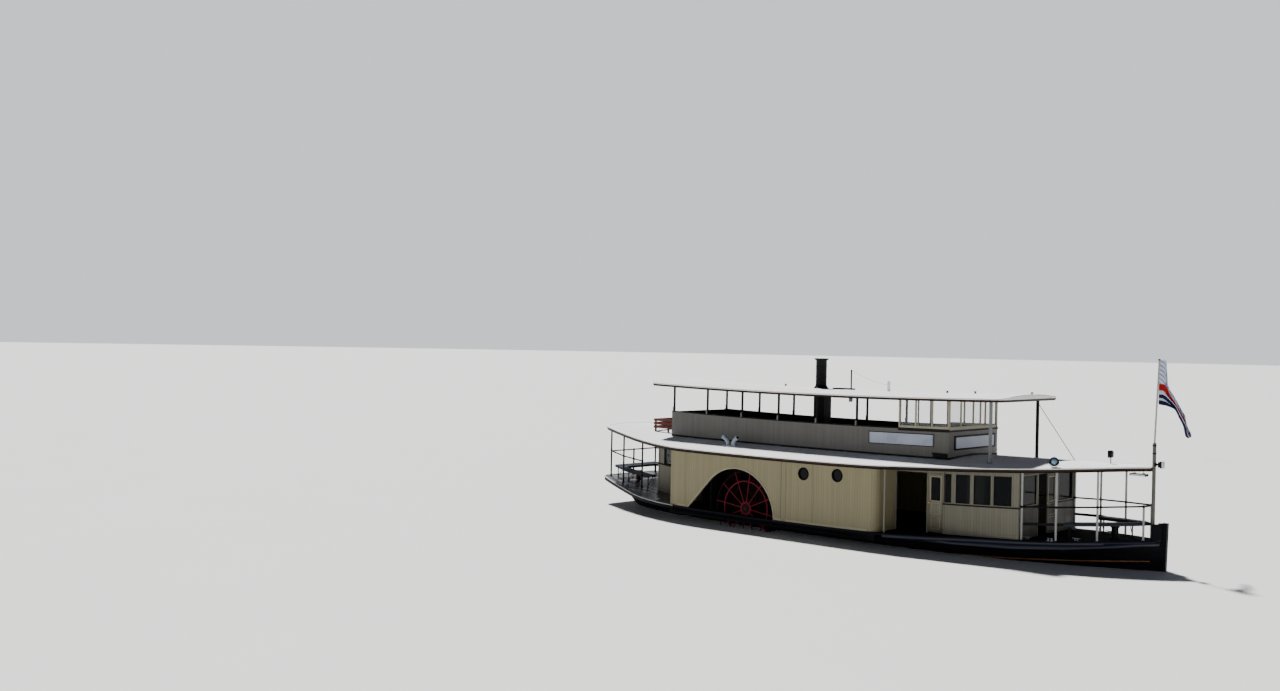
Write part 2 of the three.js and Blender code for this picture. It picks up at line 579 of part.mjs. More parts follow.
// Machinery
const BOILER = { x0: -1200, x1: 1900, z: 1230, r: 560 };
const FIREBOX = { x0: -900, x1: 1600, y: 350, top: 1200 };
const ENGINE = { x0: -3500, x1: -2300, y: 450, top: 1400 };
add('boiler', mainStorey(join([bar([BOILER.x0, 0, BOILER.z], [BOILER.x1, 0, BOILER.z], BOILER.r, 24),
  box(FIREBOX.x0, FIREBOX.x1, -FIREBOX.y, FIREBOX.y, 200, FIREBOX.top)])), 'iron');
add('engine_block', mainStorey(box(ENGINE.x0, ENGINE.x1, -ENGINE.y, ENGINE.y, 200, ENGINE.top)), 'iron');

// Lower roof
const ROOF_PLAN = [[-10560, 1], [-10550, 1150], [-10500, 1380], [-10380, 1540], [-9910, 1790], [-9050, 2170],
  [-8160, 2520], [-7270, 2810], [-6140, 3090], [-5200, 3230], [-3900, 3270], [1000, 3240], [2500, 3200],
  [3700, 3110], [4600, 2940], [6000, 2700], [7400, 2400], [8500, 2070], [9800, 1460], [10800, 760],
  [11522, 110]];
function buildLowerRoof() {
  const slab = between(roofUnder, roofTop);
  return slab.intersect(plan(mirroredPlan(ROOF_PLAN, 60), 1000, 5000));
}
add('lower_roof', buildLowerRoof(), 'roofGrey');

// Upper cabin sides
for (const { side, s } of SIDES) {
  const wall = sideBox(s, UPPER_AFT_X, UPPER_FWD_X, UPPER_Y - UPPER_WALL, UPPER_Y, 2500, 4500);
  add(`parapet_${side}`, cut(wall, underRoofTop, overSill), 'cream');
}
const INSIDE_Y = UPPER_Y - UPPER_WALL - GAP;
add('parapet_front', cut(box(UPPER_FWD_X - UPPER_WALL, UPPER_FWD_X, -INSIDE_Y, INSIDE_Y, 2500, 4500),
  underRoofTop, overSill), 'cream');
add('parapet_aft', cut(box(UPPER_AFT_X, UPPER_AFT_X + UPPER_WALL, -INSIDE_Y, INSIDE_Y, 2500, 4500),
  underRoofTop, overSill), 'cream');

// Posts, capping and wheelhouse mullions of the upper cabin
const CAP = { y0: UPPER_Y - 60, y1: UPPER_Y + 10, sink: 5 };
const RAIL = { bottom: 110, head: 90, inset: 5 };
const WHEELHOUSE_MULLIONS = [WHEELHOUSE_X, 4180, 4805, UPPER_FWD_X - POST_SIZE];
// A band along the sill between heights h0 and h1 over it
function overSillBand(s, x0, x1, y0, y1, h0, h1) {
  const xs = [x0, ...STATIONS.filter((x) => x > x0 && x < x1), x1];
  const under = xs.map((x) => [x, sillTop(x) + h0]);
  const over = xs.map((x) => [x, sillTop(x) + h1]).reverse();
  return sideProfile(s, [...under, ...over], y0, y1);
}
function buildUpperFrame(s) {
  const y0 = UPPER_Y - POST_SIZE;
  const aftPosts = Array.from({ length: 6 }, (_, i) => FIRST_POST_X - POST_SIZE / 2 + POST_PITCH * i);
  const posts = [...aftPosts, ...WHEELHOUSE_MULLIONS];
  const head = sideBox(s, UPPER_AFT_X, UPPER_FWD_X, y0 + RAIL.inset, UPPER_Y - RAIL.inset, 3500, 6000);
  const underHead = between(() => FAR_DOWN, (x, y) => topRoofUnder(x, y) - RAIL.head);
  return upperStorey(join([
    overSillBand(s, UPPER_AFT_X, UPPER_FWD_X, CAP.y0, CAP.y1, -CAP.sink, CAP_HEIGHT),
    overSillBand(s, WHEELHOUSE_X, UPPER_FWD_X, y0 + RAIL.inset, UPPER_Y - RAIL.inset, 0, RAIL.bottom),
    ...posts.map((x) => sideBox(s, x, x + POST_SIZE, y0, UPPER_Y, 3500, 6000)),
    cut(head, underHead),
  ]));
}
for (const { side, s } of SIDES) add(`upper_frame_${side}`, buildUpperFrame(s), 'postGrey');

const FRAME_IN_Y = CAP.y0 - GAP;
const MULLION_HALF = 22;
const EDGE = FRAME_IN_Y - MULLION_HALF;
const mullion = (x0, x1, y) => box(x0, x1, y - MULLION_HALF, y + MULLION_HALF, 3700, 6000);
const headBar = (x0, x1) =>
  box(x0, x1, -FRAME_IN_Y, FRAME_IN_Y, topRoofUnder(x0, FRAME_IN_Y) - RAIL.head, 6000);

function buildWheelhouseFront() {
  const x1 = UPPER_FWD_X - RAIL.inset;
  const x0 = x1 - POST_SIZE;
  const sill = sillTop(x1);
  const bottomBar = box(x0, x1, -FRAME_IN_Y, FRAME_IN_Y, sill - 5, sill + RAIL.bottom);
  const mullions = [-EDGE, -820, 0, 820, EDGE].map((y) => mullion(x0, x1, y));
  return upperStorey(join([bottomBar, headBar(x0, x1), ...mullions]));
}
add('wheelhouse_front', buildWheelhouseFront(), 'postGrey');

const AFT_SCREEN = { thick: 40, doorY: 380, jambY: 400, doorTop: 4700 };
function buildWheelhouseAft() {
  const { thick, doorY, jambY, doorTop } = AFT_SCREEN;
  const x0 = WHEELHOUSE_X;
  const x1 = x0 + thick;
  const panelY = UPPER_Y - UPPER_WALL - GAP;
  const panel = cut(box(x0, x1, -panelY, panelY, 2500, 4500), underRoofTop, overSill);
  const mullions = [-EDGE, -jambY, jambY, EDGE].map((y) => mullion(x0, x1, y));
  const frame = cut(join([...mullions, headBar(x0, x1)]), overTopRoof);
  return cut(join([panel, frame]), box(x0 - 50, x1 + 50, -doorY, doorY, 2000, doorTop));
}
add('wheelhouse_aft', buildWheelhouseAft(), 'cream');

// Upper roof
function roundedRectangle({ aft, fwd, y, cornerR }) {
  const steps = 6;
  const corners = [[fwd - cornerR, y - cornerR, 0], [aft + cornerR, y - cornerR, 1],
    [aft + cornerR, cornerR - y, 2], [fwd - cornerR, cornerR - y, 3]];
  return corners.flatMap(([cx, cy, quarter]) => Array.from({ length: steps + 1 }, (_, i) => {
    const angle = ((quarter + i / steps) * Math.PI) / 2;
    return [cx + cornerR * Math.cos(angle), cy + cornerR * Math.sin(angle)];
  }));
}
add('upper_roof', between(topRoofUnder, topRoofTop).intersect(plan(roundedRectangle(TOP_ROOF), 3000, 7000)),
  'roofGrey');

// The two posts under the fore end of the upper roof, and the stay from the port one
const FORE_POST = { x: 6960, y: 1612, size: 60 };
const STAY = { footX: 8300, headZ: 4860, r: 9, clear: 15 };
function buildForePost(s) {
  const { x, y, size } = FORE_POST;
  const post = sideBox(s, x - size / 2, x + size / 2, y - size / 2, y + size / 2, 2500, 6000);
  const parts = [post];
  if (s > 0) {
    const foot = [STAY.footX, y, roofTop(STAY.footX, y) + STAY.clear];
    parts.push(bar([x, y, STAY.headZ], foot, STAY.r, 6));
  }
  return cut(join(parts), underRoofTop, overTopRoof);
}
for (const { side, s } of SIDES) add(`fore_post_${side}`, buildForePost(s), 'postGrey');

// Funnel and its casing
const FUNNEL = { x: -820, topZ: 6170, r: 200, rimR: 265, footR: 285, wall: 14 };
function buildFunnel() {
  const { x, topZ, r, rimR, footR, wall } = FUNNEL;
  const base = topRoofTop(x, footR);
  const height = topZ - base;
  const foot = [[0, -50], [footR, -50], [footR, 20], [r + 12, 110], [r, 130]];
  const rim = [[r, height - 90], [rimR - 20, height - 50], [rimR, height - 40], [rimR, height]];
  const bore = [[r - wall, height], [r - wall, 200], [0, 200]];
  return cut(turned([...foot, ...rim, ...bore], 24, [x, 0, base], [0, 0, 1]), underTopRoofTop);
}
add('funnel', buildFunnel(), 'darkPaint');
const CASING = { x0: -980, x1: -510, y: 235 };
add('funnel_casing', cut(box(CASING.x0, CASING.x1, -CASING.y, CASING.y, 2500, 6000),
  underRoofTop, overTopRoof), 'darkPaint');
const MAST = { x: 510, r: 30, topZ: 5790, hatch: 110, hatchZ: 5110 };
add('roof_mast', cut(join([bar([MAST.x, 0, 4900], [MAST.x, 0, MAST.topZ], MAST.r),
  box(MAST.x - MAST.hatch, MAST.x + MAST.hatch, -MAST.hatch, MAST.hatch, 4900, MAST.hatchZ)]),
underTopRoofTop), 'darkPaint');
const VENT = { x: 2100, r: 55, topZ: 5430 };
add('roof_vent', cut(bar([VENT.x, 0, 4900], [VENT.x, 0, VENT.topZ], VENT.r, 16), underTopRoofTop),
  'roofGrey');

// Helm
const HELM = { x: 4560, z: 3620, r: 430, grip: 90, hubR: 75, spokeR: 14, spokes: 8,
  halfRim: 20, halfHub: 35 };
function buildHelmWheel() {
  const { x, z, r, grip, hubR, spokeR, spokes, halfRim, halfHub } = HELM;
  const section = [[r - 40, -halfRim], [r, -halfRim], [r, halfRim], [r - 40, halfRim], [r - 40, -halfRim]];
  const rim = turned(section, 24, [x, 0, z], [1, 0, 0]);
  const hub = bar([x - halfHub, 0, z], [x + halfHub, 0, z], hubR, 16);
  const arms = Array.from({ length: spokes }, (_, i) => {
    const angle = (2 * Math.PI * i) / spokes;
    return bar([x, 0, z], [x, (r + grip) * Math.cos(angle), z + (r + grip) * Math.sin(angle)], spokeR, 6);
  });
  return join([rim, hub, ...arms]);
}
add('helm_wheel', buildHelmWheel(), 'varnish');
add('helm_pedestal', cut(box(HELM.x + 50, HELM.x + 250, -130, 130, 2500, HELM.z + 130), underRoofTop),
  'varnish');

// Rails: posts from a table, the tall ones up to the roof
const TALL = 3500;
const POST_R = 30;
const RAIL_R = 22;
const RAIL_H = 1040;
const FORE_POSTS = [{ x: 8220, y: 1870, tall: true }, { x: 9230, y: 1610, tall: true },
  { x: 10300, y: 1050, tall: true }, { x: 11420, y: 300, tall: false }];
const AFT_POSTS = [{ x: -8400, y: 1520, tall: true }, { x: -9380, y: 1580, tall: true },
  { x: -10320, y: 1340, tall: true }, { x: -10320, y: 0, tall: false }];
function buildRail(posts, ends) {
  const parts = [];
  for (const { s } of SIDES) {
    for (const { x, y, tall } of posts) {
      parts.push(bar([x, s * y, 0], [x, s * y, tall ? TALL : deckTop(x) + RAIL_H], POST_R));
    }
    const path = [...posts.map(({ x, y }) => [x, y]), ...ends];
    parts.push(chain(path.map(([x, y]) => [x, s * y, deckTop(x) + RAIL_H]), RAIL_R, 6));
  }
  return mainStorey(join(parts));
}
const STAFF_CLEAR_X = 11540;
add('fore_rail', cut(buildRail(FORE_POSTS, [[11480, 150], [11480, -10]]),
  box(STAFF_CLEAR_X, 13000, -1000, 1000, 0, 3000)), 'darkPaint');
add('aft_rail', buildRail(AFT_POSTS, []), 'darkPaint');

// Benches, in a V at the bow and round three sides of the stern. Their seats follow the deck.
const BENCH = { thick: 45, legR: 22 };
const FORE_BENCH = { h: 540,
  outline: [[9400, 1400], [10300, 940], [11250, 330], [11500, 130], [11500, -5], [11300, -5], [10250, 560],
    [9400, 1010]],
  legs: [[9500, 1250], [9500, 1060], [10250, 850], [10250, 640], [10900, 420], [11350, 100]] };
const AFT_BENCH = { h: 490,
  outline: [[-8150, 1380], [-9350, 1460], [-10230, 1220], [-10230, -5], [-9850, -5], [-9850, 880],
    [-9350, 1040], [-8150, 970]],
  legs: [[-8250, 1320], [-8250, 1030], [-9250, 1400], [-9250, 1090], [-10100, 1150], [-9950, 900],
    [-10130, 300], [-9930, 300]] };
function buildBench({ h, outline, legs }) {
  const slab = between((x) => deckTop(x) + h - BENCH.thick, (x) => deckTop(x) + h, FLAT);
  const seats = SIDES.map(({ s }) => slab.intersect(sidePlan(s, outline, 0, 3000)));
  const feet = SIDES.flatMap(({ s }) =>
    legs.map(([x, y]) => bar([x, s * y, 0], [x, s * y, deckTop(x) + h - 10], BENCH.legR)));
  return cut(join([...seats, ...feet]), underDeck);
}
add('fore_bench', buildBench(FORE_BENCH), 'benchBlue');
add('aft_bench', buildBench(AFT_BENCH), 'benchBlue');

// Bollards
function buildBollard({ x, y, r, height }) {
  const pairs = [[0, -100], [r, -100], [r, height * 0.75], [r * 1.35, height * 0.82], [r * 1.35, height],
    [0, height]];
  return cut(turned(pairs, 20, [x, y, deckTop(x)], [0, 0, 1]), underDeck);
}
add('bollard_fore', buildBollard({ x: 10410, y: 0, r: 105, height: 420 }), 'darkPaint');
add('bollard_aft', buildBollard({ x: -9600, y: -450, r: 95, height: 350 }), 'timberRed');

// Posts at the side entrances
const ENTRY_POST = { x: 3900, y: 2950, r: 35 };
for (const { side, s } of SIDES) {
  const { x, y, r } = ENTRY_POST;
  add(`entrance_post_${side}`, mainStorey(bar([x, s * y, 0], [x, s * y, 3500], r)), 'postGrey');
}

// Flagstaff, with a lamp on its fore side, and flag
const FLAGSTAFF = { x: 11590, lowR: 55, shoulder: 3880, highR: 26, topX: 11685, topZ: 6420 };
const STAFF_LAMP = { x0: 11700, x1: 11880, y: 90, z0: 3120, z1: 3330, armR: 20 };
const FLAG = { x: 11645, dir: [0.552, 0.834], thick: 24, hoist: 45, ties: [6320, 5130], tieR: 8, tieGap: 9 };
function staffX(z) {
  const { x, topX, shoulder, topZ } = FLAGSTAFF;
  return x + ((topX - x) * (z - shoulder)) / (topZ - shoulder);
}
function buildFlagstaff() {
  const { x, lowR, shoulder, highR, topX, topZ } = FLAGSTAFF;
  const lamp = STAFF_LAMP;
  const lampZ = (lamp.z0 + lamp.z1) / 2;
  const ties = FLAG.ties.map((z) => {
    const reach = FLAG.hoist - FLAG.tieGap;
    return bar([staffX(z), 0, z], [FLAG.x + reach * FLAG.dir[0], reach * FLAG.dir[1], z], FLAG.tieR, 6);
  });
  return cut(join([
    bar([x, 0, 0], [x, 0, shoulder], lowR, 16),
    bar([x, 0, shoulder - 40], [topX, 0, topZ], highR, 12),
    bar([x, 0, lampZ], [lamp.x0 + 10, 0, lampZ], lamp.armR, 8),
    box(lamp.x0, lamp.x1, -lamp.y, lamp.y, lamp.z0, lamp.z1),
    ...ties,
  ]), underDeck);
}
add('flagstaff', buildFlagstaff(), 'postGrey');

// Outline of the hanging flag: distance out along dir, z
const FLAG_OUTLINE = [[FLAG.hoist, 6400], [FLAG.hoist, 5060], [390, 5000], [610, 4900], [780, 4600],
  [990, 4290], [1050, 4090], [1120, 4030], [1165, 4090], [1145, 4190], [975, 4480], [880, 4790],
  [790, 4910], [650, 5120], [450, 5450], [315, 5670], [280, 6400]];
function buildFlag() {
  const geometry = extrude(FLAG_OUTLINE, FLAG.thick);
  geometry.translate(0, 0, -FLAG.thick / 2);
  geometry.rotateX(Math.PI / 2);
  geometry.rotateZ(Math.atan2(FLAG.dir[1], FLAG.dir[0]));
  geometry.translate(FLAG.x, 0, 0);
  return solid(geometry);
}
add('flag', buildFlag(), 'cloth');

// Lamps and pipes on the lower roof
const SEARCHLIGHT = { x: 9110, y: -1560, z: 3210, back: 90, front: 110, toe: 20, r: 145, stalkR: 20 };
function buildSearchlight() {
  const { x, y, z, back, front, toe, r, stalkR } = SEARCHLIGHT;
  const drum = bar([x - back, y + toe, z], [x + front, y - toe, z], r, 20);
  return cut(join([bar([x, y, 2800], [x, y, z], stalkR), drum]), underRoofTop);
}
add('searchlight', buildSearchlight(), 'lampMetal');
const FLOODLIGHT = { x: 10100, y: 300, z: 3400, halfX: 50, halfY: 95, halfZ: 95, stalkR: 18 };
function buildFloodlight() {
  const { x, y, z, halfX, halfY, halfZ, stalkR } = FLOODLIGHT;
  return cut(join([bar([x, y, 2800], [x, y, z], stalkR),
    box(x - halfX, x + halfX, y - halfY, y + halfY, z - halfZ, z + halfZ)]), underRoofTop);
}
add('floodlight', buildFloodlight(), 'lampMetal');
// Two bent pipes on one plinth, their mouths fore and aft
const COWLS = { y: -2300, r: 65, bendZ: 3090, mouthZ: 3210, lean: 20, reach: [60, 170],
  plinth: { x0: -3480, x1: -2900, half: 90, proud: 20 },
  pipes: [{ x: -3330, way: -1 }, { x: -3050, way: 1 }] };
function buildCowls() {
  const { y, r, bendZ, mouthZ, lean, reach, plinth: { x0, x1, half, proud }, pipes } = COWLS;
  const plinth = box(x0, x1, y - half, y + half, 2600, roofTop((x0 + x1) / 2, y - half) + proud);
  const bent = pipes.map(({ x, way }) => chain([[x, y, 2700], [x, y, bendZ],
    [x + way * reach[0], y, bendZ + 70], [x + way * reach[1], y - lean, mouthZ]], r, 12));
  return cut(join([plinth, ...bent]), underRoofTop);
}
add('cowl_pipes', buildCowls(), 'roofGrey');

// Slatted timber rack abaft the upper cabin
const RACK = { x0: -8160, x1: UPPER_AFT_X - 60, y0: -1150, y1: 290, slat: 40, slatH: 95, post: 60,
  levels: [3200, 3340, 3480], postXs: [-8130, -7450, UPPER_AFT_X - 150], postTop: 3575 };
function buildRack() {
  const { x0, x1, y0, y1, slat, slatH, post, levels, postXs, postTop } = RACK;
  const parts = [];
  for (const h of levels) {
    for (const y of [y0, y1 - slat]) parts.push(box(x0, x1, y, y + slat, h, h + slatH));
    parts.push(box(x0, x0 + slat, y0, y1, h, h + slatH));
  }
  for (const x of postXs) {
    for (const y of [y0 + 35, y1 - 95]) parts.push(box(x, x + post, y, y + post, 2700, postTop));
  }
  return cut(join(parts), underRoofTop);
}
add('timber_rack', buildRack(), 'timberRed');

export default group;
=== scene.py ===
import math
import bmesh
import bpy
from mathutils import Matrix, Vector
from mathutils.bvhtree import BVHTree


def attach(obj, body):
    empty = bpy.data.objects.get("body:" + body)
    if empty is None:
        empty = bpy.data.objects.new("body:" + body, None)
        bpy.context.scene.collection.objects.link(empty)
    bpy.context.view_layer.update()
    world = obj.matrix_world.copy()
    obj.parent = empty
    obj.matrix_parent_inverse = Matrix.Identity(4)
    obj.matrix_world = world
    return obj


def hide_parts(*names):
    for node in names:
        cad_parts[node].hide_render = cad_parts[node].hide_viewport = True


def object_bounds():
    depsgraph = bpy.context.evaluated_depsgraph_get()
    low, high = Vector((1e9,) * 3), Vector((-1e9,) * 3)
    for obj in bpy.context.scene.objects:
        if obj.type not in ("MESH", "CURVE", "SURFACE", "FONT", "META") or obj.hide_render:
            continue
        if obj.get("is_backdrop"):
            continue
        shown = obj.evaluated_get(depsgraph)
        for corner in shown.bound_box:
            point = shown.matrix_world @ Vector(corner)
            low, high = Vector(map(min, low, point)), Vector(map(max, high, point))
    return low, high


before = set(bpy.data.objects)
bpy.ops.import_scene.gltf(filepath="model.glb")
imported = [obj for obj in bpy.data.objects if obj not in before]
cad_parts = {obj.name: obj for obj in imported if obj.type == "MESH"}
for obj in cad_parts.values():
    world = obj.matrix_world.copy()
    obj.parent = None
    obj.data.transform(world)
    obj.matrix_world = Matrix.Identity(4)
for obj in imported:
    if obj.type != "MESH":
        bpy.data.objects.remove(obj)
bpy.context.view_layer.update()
scene = bpy.context.scene

FORWARD, TO_PORT, UP = Vector((1, 0, 0)), Vector((0, 1, 0)), Vector((0, 0, 1))
STARBOARD = -TO_PORT
SIDES = (("stbd", -1), ("port", 1))

# Camera, solved from points of the boat in the photograph
LENS_MM, SENSOR_MM = 36.7096, 36
YAW, PITCH, ROLL = 2.3271196, -0.0053213, 0.0185763
EYE = Vector((27.45886, -39.79031, 6.77670))
CLIP_NEAR, CLIP_FAR = 1, 1500


def make_camera():
    ahead = Vector((math.cos(PITCH) * math.cos(YAW), math.cos(PITCH) * math.sin(YAW), math.sin(PITCH)))
    level = Vector((math.sin(YAW), -math.cos(YAW), 0))
    plumb = level.cross(ahead)
    right = math.cos(ROLL) * level + math.sin(ROLL) * plumb
    up = math.cos(ROLL) * plumb - math.sin(ROLL) * level
    data = bpy.data.cameras.new("camera")
    data.sensor_width, data.lens = SENSOR_MM, LENS_MM
    data.clip_start, data.clip_end = CLIP_NEAR, CLIP_FAR
    camera = bpy.data.objects.new("camera", data)
    scene.collection.objects.link(camera)
    camera.matrix_world = Matrix.Translation(EYE) @ Matrix((right, up, -ahead)).transposed().to_4x4()
    scene.camera = camera


make_camera()

# Sheer and camber of the boat, the same curves as the solids
SHEER_LOW_X, AFT_SHEER_X, AFT_SHEER_RUN = -0.56, -5, 3
DECK_Z, DECK_SHEER, DECK_AFT_SHEER = 0.473, 3e-3, 14e-3
ROOF_Z, ROOF_SHEER, ROOF_AFT_SHEER, ROOF_CAMBER = 3.025, 0.8e-3, 5e-3, 0.030
SILL_Z, TOP_ROOF_Z, UPPER_SHEER, TOP_ROOF_CAMBER = 3.87, 5.059, 2e-3, 0.032


def run(x):
    return (x - SHEER_LOW_X) ** 2


def rise(x):
    aft = max(0.0, AFT_SHEER_X - x)
    return aft ** 2 if aft < AFT_SHEER_RUN else AFT_SHEER_RUN * (2 * aft - AFT_SHEER_RUN)


def deck(x, y=0.0):
    """The deck is level across, like the sill."""
    return DECK_Z + DECK_SHEER * run(x) + DECK_AFT_SHEER * rise(x)


def roof_top(x, y):
    return ROOF_Z + ROOF_SHEER * run(x) + ROOF_AFT_SHEER * rise(x) - ROOF_CAMBER * y * y


def sill(x, y=0.0):
    return SILL_Z + UPPER_SHEER * run(x)


def top_roof_top(x, y):
    return TOP_ROOF_Z + UPPER_SHEER * run(x) - TOP_ROOF_CAMBER * y * y


class Tree:
    """The nodes of a material or a world, and short ways to add to them."""

    def __init__(self, owner):
        owner.use_nodes = True
        self.nodes, self.links = owner.node_tree.nodes, owner.node_tree.links
        self.place = self.nodes.new("ShaderNodeTexCoord")

    def feed(self, node, sockets):
        for key, value in sockets.items():
            if isinstance(value, bpy.types.NodeSocket):
                self.links.new(value, node.inputs[key])
            else:
                node.inputs[key].default_value = value

    def new(self, kind, sockets, **settings):
        made = self.nodes.new(kind)
        for key, value in settings.items():
            setattr(made, key, value)
        self.feed(made, sockets)
        return made

    def calc(self, operation, a, b=0.0):
        return self.new("ShaderNodeMath", {0: a, 1: b}, operation=operation).outputs[0]

    def blend(self, main, other, share=0.4):
        return self.calc("ADD", self.calc("MULTIPLY", main, 1 - share), self.calc("MULTIPLY", other, share))

    def noise(self, scale, stretch, detail):
        where = self.new("ShaderNodeMapping", {"Vector": self.place.outputs["Object"], "Scale": stretch})
        sockets = {"Vector": where.outputs[0], "Scale": scale, "Detail": detail}
        return self.new("ShaderNodeTexNoise", sockets).outputs["Fac"]

    def mix(self, share, a, b):
        a, b = (v if isinstance(v, bpy.types.NodeSocket) else (*v, 1) for v in (a, b))
        return self.new("ShaderNodeMix", {0: share, 6: a, 7: b}, data_type="RGBA").outputs[2]

    def spread(self, value, low, high, to_low=0.0, to_high=1.0, **settings):
        sockets = {"Value": value, "From Min": low, "From Max": high, "To Min": to_low, "To Max": to_high}
        return self.new("ShaderNodeMapRange", sockets, **settings).outputs[0]

    def groove(self, count, share):
        """A mask over the last share of each whole step of the count, half of it on each side."""
        edge = self.calc("ABSOLUTE", self.calc("SUBTRACT", self.calc("FRACT", count), 0.5))
        return self.spread(edge, 0.5 - share, 0.5)


BUTT_SHIFT = 9.7    # metres that the butts of two boards can lie apart


def seams(tree, axis, pitch, width, butts=0.0):
    """Grooves between boards and a tone for each board. The axis is the one across them, and "wall" runs
    along a wall of either heading. Butts is the length of a board."""
    split = tree.new("ShaderNodeSeparateXYZ", {0: tree.place.outputs["Object"]})
    if axis == "wall":
        facing = tree.new("ShaderNodeSeparateXYZ", {0: tree.place.outputs["Normal"]}).outputs[0]
        end_wall = tree.calc("GREATER_THAN", tree.calc("ABSOLUTE", facing), 0.7)
        step = tree.calc("MULTIPLY", end_wall, tree.calc("SUBTRACT", split.outputs[1], split.outputs[0]))
        across = tree.calc("ADD", split.outputs[0], step)
    else:
        across = split.outputs["XYZ".index(axis)]
    count = tree.calc("DIVIDE", across, pitch)
    board = {"W": tree.calc("FLOOR", count)}
    tone = tree.new("ShaderNodeTexWhiteNoise", board, noise_dimensions="1D").outputs["Value"]
    mask = tree.groove(count, width / pitch)
    if butts:
        shifted = tree.calc("ADD", split.outputs[0], tree.calc("MULTIPLY", tone, BUTT_SHIFT))
        mask = tree.calc("MAXIMUM", mask, tree.groove(tree.calc("DIVIDE", shifted, butts), width / butts))
    return mask, tone


# Materials. Each is a Principled shader fed by noise in object space; SLOTS names the slot of the record it
# stands for.
NOISE_LOW, NOISE_HIGH = 0.33, 0.67
FINE_RELIEF, WEAVE_RELIEF, RELIEF_DEPTH, GROOVE_SHARE, ROUGH_SPREAD = 0.3, 0.5, 0.01, 0.9, 0.1
FINISHES, SLOTS = {}, {}


def finish(name, dark, light, rough, slot=None, scale=2.5, stretch=(1, 1, 1), fine=60, bump=0.1, boards=None,
           groove_tone=0.35, weave=0, metallic=0, coat=0, alpha=1, gloss=0.5):
    FINISHES[name], SLOTS[name] = bpy.data.materials.new(name), slot or name
    tree = Tree(FINISHES[name])
    broad, close = tree.noise(scale, stretch, 5), tree.noise(fine, stretch, 3)
    share = tree.spread(tree.blend(broad, close), NOISE_LOW, NOISE_HIGH)
    height = tree.calc("MULTIPLY", close, FINE_RELIEF)
    if boards:
        mask, tone = seams(tree, *boards)
        share = tree.blend(share, tone)
        height = tree.calc("SUBTRACT", height, mask)
    colour = tree.mix(share, dark, light)
    if boards:
        groove = tuple(groove_tone * c for c in dark)
        colour = tree.mix(tree.calc("MULTIPLY", mask, GROOVE_SHARE), colour, groove)
    if weave:
        threads = tree.new("ShaderNodeTexChecker", {"Vector": tree.place.outputs["Object"], "Scale": weave})
        height = tree.calc("ADD", height, tree.calc("MULTIPLY", threads.outputs["Fac"], WEAVE_RELIEF))
    sockets = {"Height": height, "Strength": bump, "Distance": RELIEF_DEPTH}
    relief = tree.new("ShaderNodeBump", sockets).outputs[0]
    roughness = tree.spread(broad, 0.3, 0.7, max(rough - ROUGH_SPREAD, 0.02), rough + ROUGH_SPREAD)
    tree.feed(tree.nodes["Principled BSDF"], {
        "Base Color": colour, "Roughness": roughness, "Normal": relief, "Metallic": metallic,
        "Coat Weight": coat, "Specular IOR Level": gloss, "Alpha": alpha})


WALL_BOARDS, DECK_BOARDS = ("wall", 0.105, 0.006), ("Y", 0.11, 0.006, 3.1)
WALL = {"slot": "cream_paint", "stretch": (1, 1, 0.25), "boards": WALL_BOARDS, "bump": 0.4}
PLANKS = {"stretch": (0.15, 1.6, 1), "boards": DECK_BOARDS, "fine": 30}
POST = {"rough": 0.45, "slot": "post_paint", "scale": 6, "bump": 0.06}
CLOTH = {"rough": 0.85, "slot": "flag_cloth", "fine": 400, "weave": 260, "gloss": 0.08}

finish("hull_paint", (0.0015, 0.0015, 0.003), (0.006, 0.006, 0.009), 0.45, gloss=0.06, stretch=(0.3, 0.3, 2),
       boards=("Z", 0.19, 0.006), bump=0.25)
finish("lining_paint", (0.002, 0.002, 0.002), (0.007, 0.006, 0.006), 0.7, gloss=0.05, boards=WALL_BOARDS,
       bump=0.3)
finish("navy_paint", (0.003, 0.005, 0.014), (0.010, 0.014, 0.036), 0.38, stretch=(0.3, 0.3, 3), gloss=0.4)
finish("deck_planks", (0.026, 0.022, 0.026), (0.062, 0.056, 0.068), 0.32, gloss=0.9, bump=0.2,
       groove_tone=0.15, **PLANKS)
# Painted shade: a darker, duller copy of the deck planks
finish("deck_shade", (0.007, 0.006, 0.007), (0.020, 0.016, 0.018), 0.85, gloss=0.02, bump=0.3,
       groove_tone=0.2, **PLANKS)
finish("cream_paint", (0.20, 0.175, 0.095), (0.27, 0.235, 0.130), 0.5, gloss=0.35, groove_tone=0.5, **WALL)
# Painted shade: three darker copies of the cream paint, for cabin walls, fronts and parapets that stand in
# shade
finish("cream_cabin_shade", (0.135, 0.125, 0.090), (0.185, 0.172, 0.125), 0.5, gloss=0.35, groove_tone=0.5, **WALL)
finish("cream_front_shade", (0.055, 0.051, 0.042), (0.080, 0.074, 0.061), 0.55, gloss=0.25, groove_tone=0.5, **WALL)
finish("cream_parapet_shade", (0.088, 0.085, 0.075), (0.125, 0.120, 0.108), 0.5, gloss=0.35, groove_tone=0.45,
       **WALL)
finish("trim_paint", (0.26, 0.235, 0.15), (0.35, 0.315, 0.21), 0.45, slot="cream_paint", bump=0.06, gloss=0.4)
finish("roof_canvas", (0.64, 0.64, 0.65), (0.80, 0.80, 0.81), 0.8, gloss=0.03, scale=0.9, fine=140,
       boards=("Y", 0.91, 0.012), bump=0.22, groove_tone=0.75)
finish("edge_white", (0.66, 0.65, 0.63), (0.85, 0.84, 0.82), 0.5, slot="roof_canvas", scale=1.2, bump=0.08)
finish("fascia", (0.008, 0.004, 0.003), (0.060, 0.022, 0.012), 0.45, slot="red_timber", scale=1.2,
       stretch=(0.4, 0.4, 6), gloss=0.15)
finish("ceiling", (0.010, 0.007, 0.005), (0.028, 0.018, 0.012), 0.7, scale=2, gloss=0.1, stretch=(0.3, 2, 2),
       boards=("Y", 0.14, 0.006), bump=0.25)
